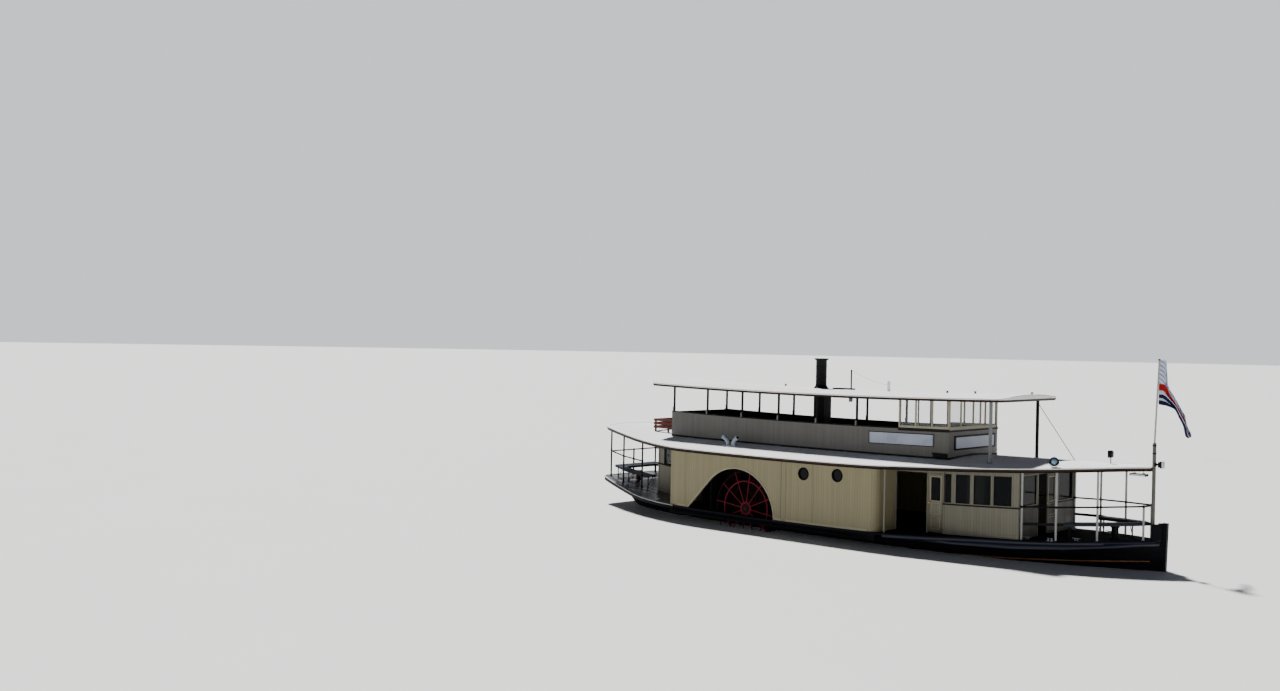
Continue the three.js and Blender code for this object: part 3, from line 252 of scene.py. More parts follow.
# Painted shade on dark varnish: a near-black copy of the varnish for the funnel casing
finish("casing_varnish_shaded", (0.003, 0.003, 0.003), (0.011, 0.008, 0.007), 0.5, slot="varnish", scale=2,
       stretch=(4, 4, 0.4), boards=("Y", 0.118, 0.006), bump=0.2, gloss=0.08)
finish("dark_trim", (0.002, 0.002, 0.003), (0.007, 0.007, 0.008), 0.5, bump=0.06, gloss=0.1)
finish("wheel_red", (0.075, 0.002, 0.006), (0.18, 0.006, 0.018), 0.5, scale=5, gloss=0.1)
# Painted shade: a darker copy of the wheel red
finish("wheel_red_shaded", (0.008, 0.001, 0.002), (0.028, 0.002, 0.004), 0.6, scale=5, gloss=0.06)
finish("float_wood", (0.004, 0.003, 0.003), (0.016, 0.008, 0.008), 0.7, scale=4, stretch=(3, 0.3, 3),
       bump=0.3, gloss=0.06)
finish("iron", (0.004, 0.004, 0.005), (0.014, 0.014, 0.015), 0.55, scale=6, metallic=0.2, gloss=0.15)
finish("post_paint", (0.085, 0.080, 0.066), (0.14, 0.132, 0.11), **POST)
# Painted shade: a near-black copy of the post paint, for posts seen in shade
finish("post_shaded", (0.002, 0.002, 0.002), (0.008, 0.007, 0.007), **{**POST, "rough": 0.5}, gloss=0.08)
finish("post_grey", (0.14, 0.145, 0.15), (0.20, 0.205, 0.21), **POST, gloss=0.2)
finish("post_light", (0.27, 0.27, 0.26), (0.40, 0.40, 0.385), **POST, gloss=0.3)
finish("bench_paint", (0.010, 0.014, 0.021), (0.028, 0.036, 0.05), 0.45, scale=4, stretch=(0.3, 2, 2),
       bump=0.12, gloss=0.15)
finish("red_timber", (0.055, 0.014, 0.009), (0.15, 0.042, 0.026), 0.6, scale=3, stretch=(0.3, 3, 3), bump=0.2,
       gloss=0.2)
finish("varnish", (0.09, 0.028, 0.010), (0.22, 0.075, 0.028), 0.22, scale=4, stretch=(2, 2, 0.4), bump=0.08,
       coat=0.6)
finish("lamp_metal", (0.42, 0.43, 0.45), (0.60, 0.61, 0.63), 0.25, scale=9, metallic=0.9)
finish("lens", (0.03, 0.10, 0.17), (0.28, 0.45, 0.56), 0.12, scale=9, bump=0, coat=0.3)
finish("board_white", (0.30, 0.335, 0.42), (0.42, 0.455, 0.54), 0.35, scale=1.5, bump=0.05, gloss=0.4)
finish("gold_line", (0.14, 0.055, 0.018), (0.24, 0.10, 0.032), 0.45, scale=3, bump=0.05)
# Painted shade: near-black panes stand for the dark inside behind windows, doors and portholes
finish("glass", (0.0015, 0.002, 0.003), (0.004, 0.005, 0.006), 0.1, bump=0, alpha=0.94, gloss=0.06)
finish("port_glass", (0.001, 0.001, 0.0015), (0.003, 0.003, 0.004), 0.12, bump=0, gloss=0.1)
finish("clear_glass", (0.35, 0.38, 0.38), (0.45, 0.48, 0.48), 0.06, slot="glass", bump=0, alpha=0.12)
finish("brass", (0.42, 0.27, 0.09), (0.62, 0.43, 0.17), 0.25, scale=12, metallic=1)
finish("rope", (0.30, 0.24, 0.15), (0.45, 0.38, 0.27), 0.8, scale=30, bump=0.3)
finish("cowl_grey", (0.17, 0.21, 0.26), (0.30, 0.35, 0.40), 0.4, slot="roof_canvas", scale=5, bump=0.08)
finish("flag_white", (0.46, 0.49, 0.58), (0.64, 0.66, 0.74), **CLOTH)
finish("flag_red", (0.26, 0.006, 0.008), (0.40, 0.014, 0.016), **CLOTH)
finish("flag_navy", (0.004, 0.006, 0.032), (0.010, 0.014, 0.065), **CLOTH)
finish("flag_blue", (0.13, 0.17, 0.34), (0.20, 0.25, 0.45), **CLOTH)
finish("floor_paint", (0.60, 0.60, 0.58), (0.63, 0.63, 0.61), 0.75, scale=0.2, bump=0)


def mirrored(form):
    verts, faces = form
    return [(v[0], -v[1], v[2]) for v in verts], [tuple(reversed(f)) for f in faces]


class Shape:
    """Vertices and faces gathered from several forms, with a material number for each face."""

    def __init__(self):
        self.verts, self.faces, self.mats = [], [], []

    def add(self, form, mat=0):
        verts, faces = form
        start = len(self.verts)
        self.verts += [tuple(v) for v in verts]
        self.faces += [tuple(start + i for i in f) for f in faces]
        self.mats += [mat] * len(faces)
        return self

    def mirror(self):
        """Adds to port the mirror image of what was drawn to starboard."""
        mats = list(self.mats)
        self.add(mirrored((self.verts, self.faces)))
        self.mats[len(mats):] = mats
        return self


def grid(rows, close_rows=False, close_across=False, cap=False):
    """Faces over rows of points that all have the same count."""
    across = len(rows[0])
    verts = [p for row in rows for p in row]
    faces = []
    for r in range(len(rows) if close_rows else len(rows) - 1):
        for i in range(across if close_across else across - 1):
            a, b = r * across + i, r * across + (i + 1) % across
            c, d = (a + across) % len(verts), (b + across) % len(verts)
            faces.append((a, b, d, c))
    if cap:
        faces.append(tuple(reversed(range(across))))
        faces.append(tuple(range(len(verts) - across, len(verts))))
    return verts, faces


def loft(rows):
    """A closed form through rings of points."""
    return grid(rows, close_across=True, cap=True)


def around(centre, radius, count, a=FORWARD, b=TO_PORT, phase=0.0):
    """Points on a circle in the plane of the directions a and b."""
    turns = [2 * math.pi * (k + phase) / count for k in range(count)]
    return [Vector(centre) + radius * (math.cos(t) * a + math.sin(t) * b) for t in turns]


LEAST_R = 2e-4    # a lathe's points on its axis stand this far off it


def lathe(profile, origin, axis=UP, steps=40):
    """A turned form from (radius, distance) pairs, which start and end on the axis or make a ring."""
    turn = UP.rotation_difference(Vector(axis))
    rows = []
    for k in range(steps):
        c, s = math.cos(2 * math.pi * k / steps), math.sin(2 * math.pi * k / steps)
        spokes = [(max(r, LEAST_R), d) for r, d in profile]
        rows.append([Vector(origin) + turn @ Vector((r * c, r * s, d)) for r, d in spokes])
    return grid(rows, close_rows=True, close_across=profile[0][0] > 0)


def tube(points, radius, sides=12):
    """A round tube through points; radius is a number or one for each point."""
    points = [Vector(p) for p in points]
    radii = radius if hasattr(radius, "__len__") else [radius] * len(points)
    rows, side = [], None
    for i, p in enumerate(points):
        ahead = (points[min(i + 1, len(points) - 1)] - points[max(i - 1, 0)]).normalized()
        if side is None:
            side = ahead.orthogonal().normalized()
        side = (side - ahead * side.dot(ahead)).normalized()
        rows.append(around(p, radii[i], sides, side, ahead.cross(side)))
    return loft(rows)


def upright(x, y, low, high, radius, sides=12):
    return tube([(x, y, low), (x, y, high)], radius, sides)


def rounded(points, radius, steps=5):
    """The path with its inner corners turned into bends."""
    points = [Vector(p) for p in points]
    out = [points[0]]
    for before, at, after in zip(points, points[1:], points[2:]):
        a, b = (at + (p - at).normalized() * min(radius, (p - at).length * 0.45) for p in (before, after))
        for k in range(steps + 1):
            t = k / steps
            out.append(a * (1 - t) ** 2 + at * 2 * t * (1 - t) + b * t * t)
    return [*out, points[-1]]


def sweep(section, path, up=UP, closed=True):
    """Sweeps a closed section of (out, up) pairs along a path, mitred. Out is to the path's right."""
    path = [Vector(p) for p in path]
    up = Vector(up).normalized()
    rows = []
    for i, p in enumerate(path):
        before, after = path[i - 1], path[(i + 1) % len(path)]
        if not closed and i == 0:
            before = p - (after - p)
        if not closed and i == len(path) - 1:
            after = p + (p - before)
        first, second = ((q - up * q.dot(up)).normalized() for q in (p - before, after - p))
        ahead = (first + second).normalized()
        out = ahead.cross(up) / max(ahead.dot(first), 0.35)
        rows.append([p + out * o + up * u for o, u in section])
    return grid(rows, close_rows=closed, close_across=True, cap=not closed)


def chamfered(width, height, cut=0.004):
    """A rectangular section about its centre, with its corners cut."""
    w, h = width / 2, height / 2
    c = min(cut, w * 0.6, h * 0.6)
    lower = [(-w, c - h), (c - w, -h), (w - c, -h), (w, c - h)]
    return lower + [(-u, -v) for u, v in lower]


def plank(a, b, width, height, up=UP, cut=0.004):
    return sweep(chamfered(width, height, cut), [a, b], up, closed=False)


def block(low, high, cut=0.005):
    """A box with chamfered edges."""
    bm = bmesh.new()
    bmesh.ops.create_cube(bm, size=1)
    low, high = Vector(low), Vector(high)
    for v in bm.verts:
        v.co = Vector(map(lambda l, h, c: (l + h) / 2 + (h - l) * c, low, high, v.co))
    cut = min(cut, *((high - low) * 0.3))
    bmesh.ops.bevel(bm, geom=bm.edges[:], offset=cut, segments=2, affect="EDGES", profile=0.5)
    form = [v.co.copy() for v in bm.verts], [tuple(v.index for v in f.verts) for f in bm.faces]
    bm.free()
    return form


def plate(x, y, z0, z1, half_x, half_y, cut=0.005):
    """A block about a place in plan, between two heights."""
    return block((x - half_x, y - half_y, z0), (x + half_x, y + half_y, z1), cut)


def lifted(line, curve, height):
    """The points of a line in plan, at a height over one of the boat's curves."""
    return [(x, y, curve(x, y) + height) for x, y in line]


def line_along(x0, x1, y, curve, height, steps=10):
    return lifted([(x0 + (x1 - x0) * k / steps, y) for k in range(steps + 1)], curve, height)


CREASE, FLAT, WELD = 35, math.radians(0.6), 2e-4


def place(name, mesh, body, nodes, crease=CREASE):
    """Shades a mesh smooth between its sharp edges, and puts it in the frame in place of the CAD nodes."""
    mesh.shade_smooth()
    mesh.set_sharp_from_angle(angle=math.radians(crease))
    made = bpy.data.objects.new(name, mesh)
    scene.collection.objects.link(made)
    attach(made, body)
    if nodes:
        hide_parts(*nodes)
    return made


def piece(name, shape, finishes, body="root", replaces=(), crease=CREASE):
    """Makes a shape into an object, its faces turned outward."""
    finishes = [finishes] if isinstance(finishes, str) else finishes
    mesh = bpy.data.meshes.new(name)
    mesh.from_pydata(shape.verts, [], shape.faces)
    for key in finishes:
        mesh.materials.append(FINISHES[key])
    mesh.polygons.foreach_set("material_index", shape.mats)
    bm = bmesh.new()
    bm.from_mesh(mesh)
    bmesh.ops.recalc_face_normals(bm, faces=bm.faces[:])
    bm.to_mesh(mesh)
    bm.free()
    return place(name, mesh, body, replaces, crease)


def refined(node, key, cut, split=None, rim=None):
    """A CAD node's own shape, its edges eased. Split is (x, finish) for what lies forward of x, and rim is
    the finish of the faces that don't look up."""
    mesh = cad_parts[node].data.copy()
    bm = bmesh.new()
    bm.from_mesh(mesh)
    bmesh.ops.remove_doubles(bm, verts=bm.verts[:], dist=WELD)
    bmesh.ops.dissolve_limit(bm, angle_limit=FLAT, verts=bm.verts[:], edges=bm.edges[:])
    if cut:
        sharp = [e for e in bm.edges if e.is_manifold and e.calc_face_angle(0) > math.radians(CREASE)]
        bmesh.ops.bevel(bm, geom=sharp, offset=cut, segments=2, affect="EDGES", clamp_overlap=True)
    mesh.materials.clear()
    mesh.materials.append(FINISHES[key])
    if split:
        x, beyond = split
        everything = [*bm.verts, *bm.edges, *bm.faces]
        bmesh.ops.bisect_plane(bm, geom=everything, plane_co=FORWARD * x, plane_no=FORWARD)
        for face in bm.faces:
            face.material_index = int(face.calc_center_median().x > x)
        mesh.materials.append(FINISHES[beyond])
    bmesh.ops.recalc_face_normals(bm, faces=bm.faces[:])
    if rim:
        mesh.materials.append(FINISHES[rim])
        for face in bm.faces:
            if face.normal.z < 0.5:
                face.material_index = len(mesh.materials) - 1
    bm.to_mesh(mesh)
    bm.free()
    place(node + "_shaped", mesh, node if node == "rudder" or node in DOORS else "root", [node])


# Places and sizes that several pieces share, as in the solids
BOX_Y, BOX_AFT, BOX_FORE = 3.10, -5.43, 3.65
CABIN_AFT, CABIN_FORE, CABIN_Y, FRONT_BASE = 5.50, 8.16, 1.96, deck(8.16)
AFT_HOUSE_AFT, AFT_HOUSE_FORE, AFT_HOUSE_Y = -7.67, -5.45, 1.36
SILL_H, AFT_SILL_H, HEAD_H = 1.03, 1.15, 1.97
UPPER_Y, FRAME_Y, AFT_END, WHEELHOUSE_AFT, WHEELHOUSE_FORE = 1.636, 1.609, -6.743, 3.55, 5.475
OPEN_POSTS = [-6.64 + 1.7 * k for k in range(6)]
SASH_POSTS = [3.575, 4.205, 4.83, 5.448]

# Doors: whether the leaf lies along x, the plane it is in, its lock edge, its hinge and its foot
DOORS = {"side_door_stbd": (True, -1.93, 4.938, 5.492, deck(5.492)),
         "side_door_port": (True, 1.93, 4.938, 5.492, deck(5.492)),
         "front_door_stbd": (True, -0.612, 7.477, 8.105, FRONT_BASE),
         "front_door_port": (False, 8.125, 0.004, 0.632, FRONT_BASE),
         "aft_door": (False, -7.635, -0.322, 0.322, deck(AFT_HOUSE_AFT))}

# Finishes of the CAD nodes that keep their shape, and of those whose edges are eased by the metres given
KEPT = {"paddle_shaft": "iron", "engine_block": "iron", "boiler": "iron", "paddle_box_side": "cream_paint",
        "paddle_box_lining": "lining_paint", "cabin_side": "cream_cabin_shade", "cabin_front": "cream_front_shade",
        "aft_house_side": "cream_cabin_shade", "aft_house_end": "cream_cabin_shade", "parapet": "cream_parapet_shade",
        "parapet_front": "cream_parapet_shade", "parapet_aft": "cream_parapet_shade", "helm_pedestal": "varnish"}
EASED = {"rudder": ("hull_paint", 0.008), "hull": ("hull_paint", 0), "rubbing_strake": ("navy_paint", 0.008),
         "bow_bulwark": ("hull_paint", 0.006), "side_door": ("cream_cabin_shade", 0.005),
         "front_door": ("cream_front_shade", 0.005), "aft_door": ("cream_cabin_shade", 0.005),
         "wheelhouse_front": ("trim_paint", 0.004), "wheelhouse_aft": ("cream_parapet_shade", 0.004),
         "funnel_casing": ("casing_varnish_shaded", 0.01), "roof_mast": ("dark_trim", 0.006),
         "roof_vent": ("edge_white", 0.006), "entrance_post": ("cream_cabin_shade", 0),
         "timber_rack": ("red_timber", 0.005)}
# Painted shade: the parapets' inner faces, facing the way given, take the near-black lining paint
SHADED_INSIDE = {"parapet_stbd": TO_PORT, "parapet_port": STARBOARD, "parapet_front": -FORWARD,
               "parapet_aft": FORWARD}


def nodes_of(name):
    """The CAD node of that name, or its starboard and port pair."""
    return [node for node in (name, name + "_stbd", name + "_port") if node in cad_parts]


def smooth_line(table, steps):
    """A smooth line through a table of [x, half breadth], the same curve as the solids use."""
    pts = [Vector(p) for p in table]
    pts = [2 * pts[0] - pts[1], *pts, 2 * pts[-1] - pts[-2]]
    spans = len(table) - 1
    out = []
    for k in range(steps + 1):
        at = spans * k / steps
        i = min(int(at), spans - 1)
        t = at - i
        p0, p1, p2, p3 = pts[i:i + 4]
        d0, d1, d2 = ((q - p).length ** 0.5 for p, q in ((p0, p1), (p1, p2), (p2, p3)))
        m1 = ((p1 - p0) / d0 - (p2 - p0) / (d0 + d1) + (p2 - p1) / d1) * d1
        m2 = ((p2 - p1) / d1 - (p3 - p1) / (d1 + d2) + (p3 - p2) / d2) * d1
        c2, c3 = -3 * p1 + 3 * p2 - 2 * m1 - m2, 2 * p1 - 2 * p2 + m1 + m2
        out.append(p1 + m1 * t + c2 * t * t + c3 * t ** 3)
    return out


ROOF_PLAN = [(-10.56, 0.001), (-10.55, 1.15), (-10.5, 1.38), (-10.38, 1.54), (-9.91, 1.79), (-9.05, 2.17),
             (-8.16, 2.52), (-7.27, 2.81), (-6.14, 3.09), (-5.2, 3.23), (-3.9, 3.27), (1, 3.24), (2.5, 3.2),
             (3.7, 3.11), (4.6, 2.94), (6, 2.7), (7.4, 2.4), (8.5, 2.07), (9.8, 1.46), (10.8, 0.76),
             (11.522, 0.11)]
DECK_PLAN = [(-10.56, 0.001), (-10.555, 1.25), (-10.51, 1.48), (-10.33, 1.66), (-9.64, 1.99), (-9, 2.27),
             (-8.4, 2.52), (-7.45, 2.89), (-6.8, 3.05), (-6.1, 3.13), (-5, 3.16), (3.2, 3.16), (4.3, 3.08),
             (5.5, 2.74), (6.5, 2.4), (7.3, 2.21), (8.16, 2.06), (9.23, 1.73), (10.3, 1.18), (11.2, 0.62),
             (11.79, 0.19)]
TOP_ROOF_AFT, TOP_ROOF_FORE, TOP_ROOF_Y, TOP_ROOF_CORNER_R = -7.62, 7.515, 1.85, 0.09


def corner_plan(aft, fwd, y, r, steps=8, stations=30):
    """One side of a rectangle with rounded corners, from its aft end's middle to its fore end's."""
    side = [(aft, 0.001)]
    for x, start in ((aft + r, 2), (fwd - r, 1)):
        for k in range(steps + 1):
            angle = (start - k / steps) * math.pi / 2
            side.append((x + r * math.cos(angle), y - r + r * math.sin(angle)))
        if start == 2:
            side += [(x + (fwd - r - x) * k / stations, y) for k in range(1, stations)]
    return [Vector(p) for p in [*side, (fwd, 0.001)]]


SLAB_INSET = 0.02       # of a roof's slab inside its edge
PLATE_IN, PLATE_OUT, PLATE_DROP, PLATE_STEPS = 0.035, 0.006, 0.055, 16
ROOF_KEYS = ["roof_canvas", "edge_white", "fascia", "dark_trim", "ceiling"]


def roof(name, node, side, top, thick, edge, board, bearer_shade, square=False):
    """A cambered slab, boarded beneath, whose rim carries a rolled white edge over a varnished board and a
    black beam under it, its black painted shade under the edge. Square ends have a board with a straight
    lower edge and a white plate from it to the camber."""
    rings = []
    for p in side:
        y = p.y - SLAB_INSET if p.y > 0.05 else p.y
        over = [Vector((p.x, y * k / 10, top(p.x, y * k / 10))) for k in range(-10, 11)]
        rings.append([*over, *[v - UP * thick for v in reversed(over)]])
    shape = Shape().add(loft(rings))
    for r in range(len(rings) - 1):
        for i in range(len(over), 2 * len(over) - 1):
            shape.mats[r * 2 * len(over) + i] = ROOF_KEYS.index("ceiling")
    rim = [Vector((p.x, -p.y, top(p.x, p.y))) for p in side]
    rim += [Vector((p.x, p.y, top(p.x, p.y))) for p in reversed(side)]
    shape.add(sweep(edge, rim), 1)
    if square:
        breadth = max(p.y for p in rim)
        ends, y = (min(p.x for p in rim), max(p.x for p in rim)), breadth - 0.03
        for x, way in zip(ends, (-1, 1)):
            foot, near, far, rows = top(x, y) - PLATE_DROP, x - way * PLATE_IN, x + way * PLATE_OUT, []
            for k in range(PLATE_STEPS + 1):
                v = -y + 2 * y * k / PLATE_STEPS
                head = top(x, v) - 0.004
                rows.append([(near, v, foot), (far, v, foot), (far, v, head), (near, v, head)])
            shape.add(loft(rows), 1)
        rim = [Vector((p.x, p.y, top(p.x, breadth) if p.x in ends else p.z)) for p in rim]
    shape.add(sweep(board, rim), 2)
    shape.add(sweep(bearer_shade, rim), 3)
    piece(name, shape, ROOF_KEYS, replaces=[node], crease=50)


def rolled(top, bottom, out, inner=-0.05, steps=6):
    """A half-round edge from inside the rim, over its top and down to its foot."""
    height, centre = (top - bottom) / 2, (top + bottom) / 2
    arc = [math.pi / 2 - math.pi * k / steps for k in range(steps + 1)]
    return [(inner, bottom), (inner, top), *[(out * math.cos(a), centre + height * math.sin(a)) for a in arc]]


def eased(inner, outer, bottom, top, ease=0.006):
    """A board's section, its outer corners cut."""
    return [(inner, bottom), (inner, top), (outer - ease, top), (outer, top - ease), (outer, bottom + ease),
            (outer - ease, bottom)]


# Painted shade: the black beams under the roofs' rims stand for the shade under the edges
LOWER_BEARER_SHADE = [(-0.06, -0.135), (-0.06, -0.08), (-0.006, -0.08), (-0.001, -0.086), (-0.001, -0.129),
                (-0.006, -0.135)]
UPPER_BEARER_SHADE = [(u - 0.006, v + 0.016) for u, v in LOWER_BEARER_SHADE]
roof("lower_roof_skin", "lower_roof", smooth_line(ROOF_PLAN, 120), roof_top, 0.09,
     rolled(0.012, -0.035, 0.022), eased(-0.045, 0.016, -0.09, -0.032, 0.008), LOWER_BEARER_SHADE)
roof("upper_roof_skin", "upper_roof", corner_plan(TOP_ROOF_AFT, TOP_ROOF_FORE, TOP_ROOF_Y, TOP_ROOF_CORNER_R),
     top_roof_top, 0.06, rolled(0.012, -0.048, 0.020), eased(-0.04, 0.014, -0.09, -0.045), UPPER_BEARER_SHADE,
     square=True)

for name, key in KEPT.items():
    for node in nodes_of(name):
        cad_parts[node].data.materials.clear()
        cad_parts[node].data.materials.append(FINISHES[key])
for node, way in SHADED_INSIDE.items():
    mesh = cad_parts[node].data
    mesh.materials.append(FINISHES["lining_paint"])
    for face in mesh.polygons:
        face.material_index = int(face.normal.dot(way) > 0.7)
# The deck forward of the paddle boxes' aft end takes the painted shade copy of the planks
refined("main_deck", "deck_planks", 0, split=(BOX_AFT, "deck_shade"), rim="hull_paint")
for name, (key, cut) in EASED.items():
    for node in nodes_of(name):
        refined(node, key, cut)

# Paddle wheels: two frames of rings and spokes, floats of two boards between them
WHEEL = Vector((-1.93, 0, 0.73))
WHEEL_IN, WHEEL_OUT, FRAME_THICK = 2.40, 2.95, 0.024
SPOKE_ANGLES = [math.radians(7.5 + 30 * k) for k in range(12)]
SPOKE_FROM, SPOKE_TO, SPOKE_WIDE, SPOKE_THICK = 0.14, 1.362, 0.034, 0.022
WHEEL_KEYS = ["wheel_red", "iron", "float_wood", "wheel_red_shaded"]
# Painted shade: each frame's outer ring, the whole inboard frame and the hub take the darker copy of the red
RINGS = ((0.955, 1.0, 0), (1.305, 1.34, 3), (0.15, 0.24, 0))
RIVET, RIVET_RADII = [(0, 0), (0.014, 0), (0.014, 0.004), (0.009, 0.007), (0, 0.007)], (0.195, 0.97, 1.315)
FLOAT_BOARDS, FLOAT_HALF, FLOAT_GAP = ((1.045, 1.2), (1.212, 1.366)), 0.022, 0.028
HUB_HALF = [(0.072, -0.01), (0.165, -0.01), (0.17, -0.004), (0.17, 0.03), (0.12, 0.06)]


def ring(inner, outer, y0, y1, cut=0.004):
    section = [(inner, y0 + cut), (inner + cut, y0), (outer - cut, y0), (outer, y0 + cut),
               (outer, y1 - cut), (outer - cut, y1), (inner + cut, y1), (inner, y1 - cut)]
    return lathe(section, WHEEL, TO_PORT, 96)


def about_wheel(form, angle):
    verts, faces = form
    turn = Matrix.Rotation(angle, 3, "Y")
    return [WHEEL + turn @ Vector(v) for v in verts], faces


def paddle_wheel(side, s):
    shape = Shape()
    near, far = sorted((s * WHEEL_IN, s * WHEEL_OUT))
    for y in (near, far - FRAME_THICK):
        inboard = (y > near) == (s < 0)
        for inner, outer, mat in RINGS:
            shape.add(ring(inner, outer, y, y + FRAME_THICK), 3 if inboard else mat)
        middle, head = y + FRAME_THICK / 2, y - 0.006 if y == near else y + FRAME_THICK
        spoke = plank((0, middle, SPOKE_FROM), (0, middle, SPOKE_TO), SPOKE_THICK, SPOKE_WIDE, FORWARD)
        for angle in SPOKE_ANGLES:
            shape.add(about_wheel(spoke, angle), 3 if inboard else 0)
            for r in RIVET_RADII:
                shape.add(about_wheel(lathe(RIVET, (0, head, r), TO_PORT, 8), angle), 1)
    for angle in SPOKE_ANGLES:
        for r0, r1 in FLOAT_BOARDS:
            board = block((-FLOAT_HALF, near + FLOAT_GAP, r0), (FLOAT_HALF, far - FLOAT_GAP, r1), 0.006)
            shape.add(about_wheel(board, angle), 2)
    hub = [(r, near + y) for r, y in HUB_HALF] + [(r, far - y) for r, y in reversed(HUB_HALF)]
    shape.add(lathe(hub, WHEEL, TO_PORT, 48), 3)
    piece(f"wheel_{side}", shape, WHEEL_KEYS, "paddle_wheels", replaces=[f"paddle_wheel_{side}"])


for side, s in SIDES:
    paddle_wheel(side, s)


# Upper frames: capping, square posts and a head rail on each side, light where they glaze the wheelhouse, and
# elsewhere near black as painted shade
def fore_and_aft(x0, x1, y, curve, height, section):
    return sweep(section, line_along(x0, x1, y, curve, height, 24), closed=False)


for side, s in SIDES:
    shape = Shape()
    y = s * FRAME_Y
    for x0, x1, mat in ((AFT_END, WHEELHOUSE_AFT - 0.002, 0), (WHEELHOUSE_AFT, WHEELHOUSE_FORE, 1)):
        shape.add(fore_and_aft(x0, x1, y, sill, 0.0125, chamfered(0.07, 0.035)))
        shape.add(fore_and_aft(x0, x1, y, top_roof_top, -0.106, chamfered(0.042, 0.088)), mat)
    shape.add(fore_and_aft(WHEELHOUSE_AFT, WHEELHOUSE_FORE, y, sill, 0.068, chamfered(0.042, 0.085)), 1)
    for posts, wide, mat in ((OPEN_POSTS, 0.072, 0), (SASH_POSTS, 0.05, 1)):
        for x in posts:
            foot, head = (x, y, sill(x) + 0.02), (x, y, top_roof_top(x, FRAME_Y) - 0.064)
            shape.add(plank(foot, head, wide, 0.054, TO_PORT), mat)
    piece(f"upper_frame_{side}_built", shape, ["post_shaded", "trim_paint"], replaces=[f"upper_frame_{side}"])

# Posts under the fore end of the upper roof, with foot plates and heads, and the stay from the port one
POST_X, POST_Y, POST_WIDE, STAY_FOOT_X, STAY_HEAD_Z = 6.96, 1.612, 0.088, 8.30, 4.86
STAY_EYE = [(0, -0.022), (0.035, -0.022), (0.035, -0.012), (0.014, 0.0), (0.014, 0.014), (0, 0.016)]
# The port post takes the painted shade, the starboard one grey
for (side, s), key in zip(SIDES, ("post_grey", "post_shaded")):
    y, low, high = s * POST_Y, roof_top(POST_X, POST_Y), top_roof_top(POST_X, POST_Y) - 0.062
    post = plank((POST_X, y, low - 0.01), (POST_X, y, high), POST_WIDE, POST_WIDE, TO_PORT, 0.01)
    shape = Shape().add(post)
    for z, reach in ((low + 0.004, 0.075), (high - 0.012, 0.065)):
        shape.add(plate(POST_X, y, z - 0.008, z + 0.008, reach, reach, 0.003), 1)
    if side == "port":
        foot = Vector((STAY_FOOT_X, y, roof_top(STAY_FOOT_X, POST_Y) + 0.016))
        shape.add(tube([(POST_X, y, STAY_HEAD_Z), foot], 0.012, 10), 1)
        shape.add(lathe(STAY_EYE, foot, steps=16), 1)
    piece(f"fore_post_{side}_square", shape, [key, "dark_trim"], replaces=[f"fore_post_{side}"])

# Rails: tall posts up to the roof, and rounded handrails through them
RAIL_H = 1.04
FORE_POSTS = [(8.22, 1.87, True), (9.23, 1.61, True), (10.3, 1.05, True), (11.42, 0.3, False)]
AFT_POSTS = [(-8.4, 1.52, True), (-9.38, 1.58, True), (-10.32, 1.34, True), (-10.32, 0, False)]
BOW_END = [(11.49, 0.0)]
FLANGE = [(0, 0), (0.062, 0), (0.062, 0.006), (0.036, 0.014), (0.036, 0.03), (0, 0.03)]
COLLAR = [(0, -0.04), (0.032, -0.04), (0.046, -0.018), (0.046, 0.018), (0.032, 0.04), (0, 0.04)]


def rail(name, posts, end, key):
    shape = Shape()
    for s in (-1, 1):
        for x, y, tall in posts:
            foot, hand = deck(x) - 0.006, deck(x) + RAIL_H
            shape.add(upright(x, s * y, foot + 0.01, roof_top(x, y) - 0.1 if tall else hand, 0.034, 16))
            shape.add(lathe(FLANGE, (x, s * y, foot), steps=20))
            shape.add(lathe(COLLAR, (x, s * y, hand), steps=16), 1)
        line = [(x, s * y) for x, y in [*(post[:2] for post in posts), *end]]
        shape.add(tube(rounded(lifted(line, deck, RAIL_H), 0.12), 0.027), 1)
    piece(name + "_round", shape, [key, "dark_trim"], replaces=[name])


rail("fore_rail", FORE_POSTS, BOW_END, "post_light")
rail("aft_rail", AFT_POSTS, [], "dark_trim")

# Benches: four slats along each run, on bearers, legs and braces. A pair of points is one on the outer edge
# and one on the inner edge, or a leg and the inner end of its bearer.
FORE_EDGES = [((9.4, 1.4), (9.4, 1.01)), ((10.3, 0.94), (10.25, 0.56)), ((11.25, 0.33), (11.12, 0.1)),
              ((11.5, 0.0), (11.3, 0.0))]
AFT_EDGES = [((-8.15, 1.38), (-8.15, 0.97)), ((-9.35, 1.46), (-9.35, 1.04)), ((-10.23, 1.22), (-9.85, 0.88)),
             ((-10.23, 0.0), (-9.85, 0.0))]
FORE_LEGS = [((9.5, 1.25), (9.5, 1.06)), ((10.7, 0.62), (10.7, 0.4))]
AFT_LEGS = [((-8.25, 1.32), (-8.25, 1.03)), ((-9.25, 1.4), (-9.25, 1.09)), ((-10.1, 1.15), (-9.95, 0.9))]
LEG_FOOT = [(0, 0), (0.05, 0), (0.05, 0.008), (0.024, 0.014), (0, 0.014)]
SLATS, SLAT_GAP, SLAT_THICK, SLAT_EASE, BENCH_STEP = 4, 0.02, 0.03, 0.06, 0.3


def between(p, q, share):
    return tuple(u + (v - u) * share for u, v in zip(p, q))


def bench_edges(edges):
    """The outer and the inner edge, with a point about every BENCH_STEP."""
    lines = [], []
    for a, b in zip(edges, edges[1:]):
        count = max(1, round(math.dist(a[0], b[0]) / BENCH_STEP))
        for line, p, q in zip(lines, a, b):
            line += [between(p, q, k / count) for k in range(count)]
    return [[*line, end] for line, end in zip(lines, edges[-1])]


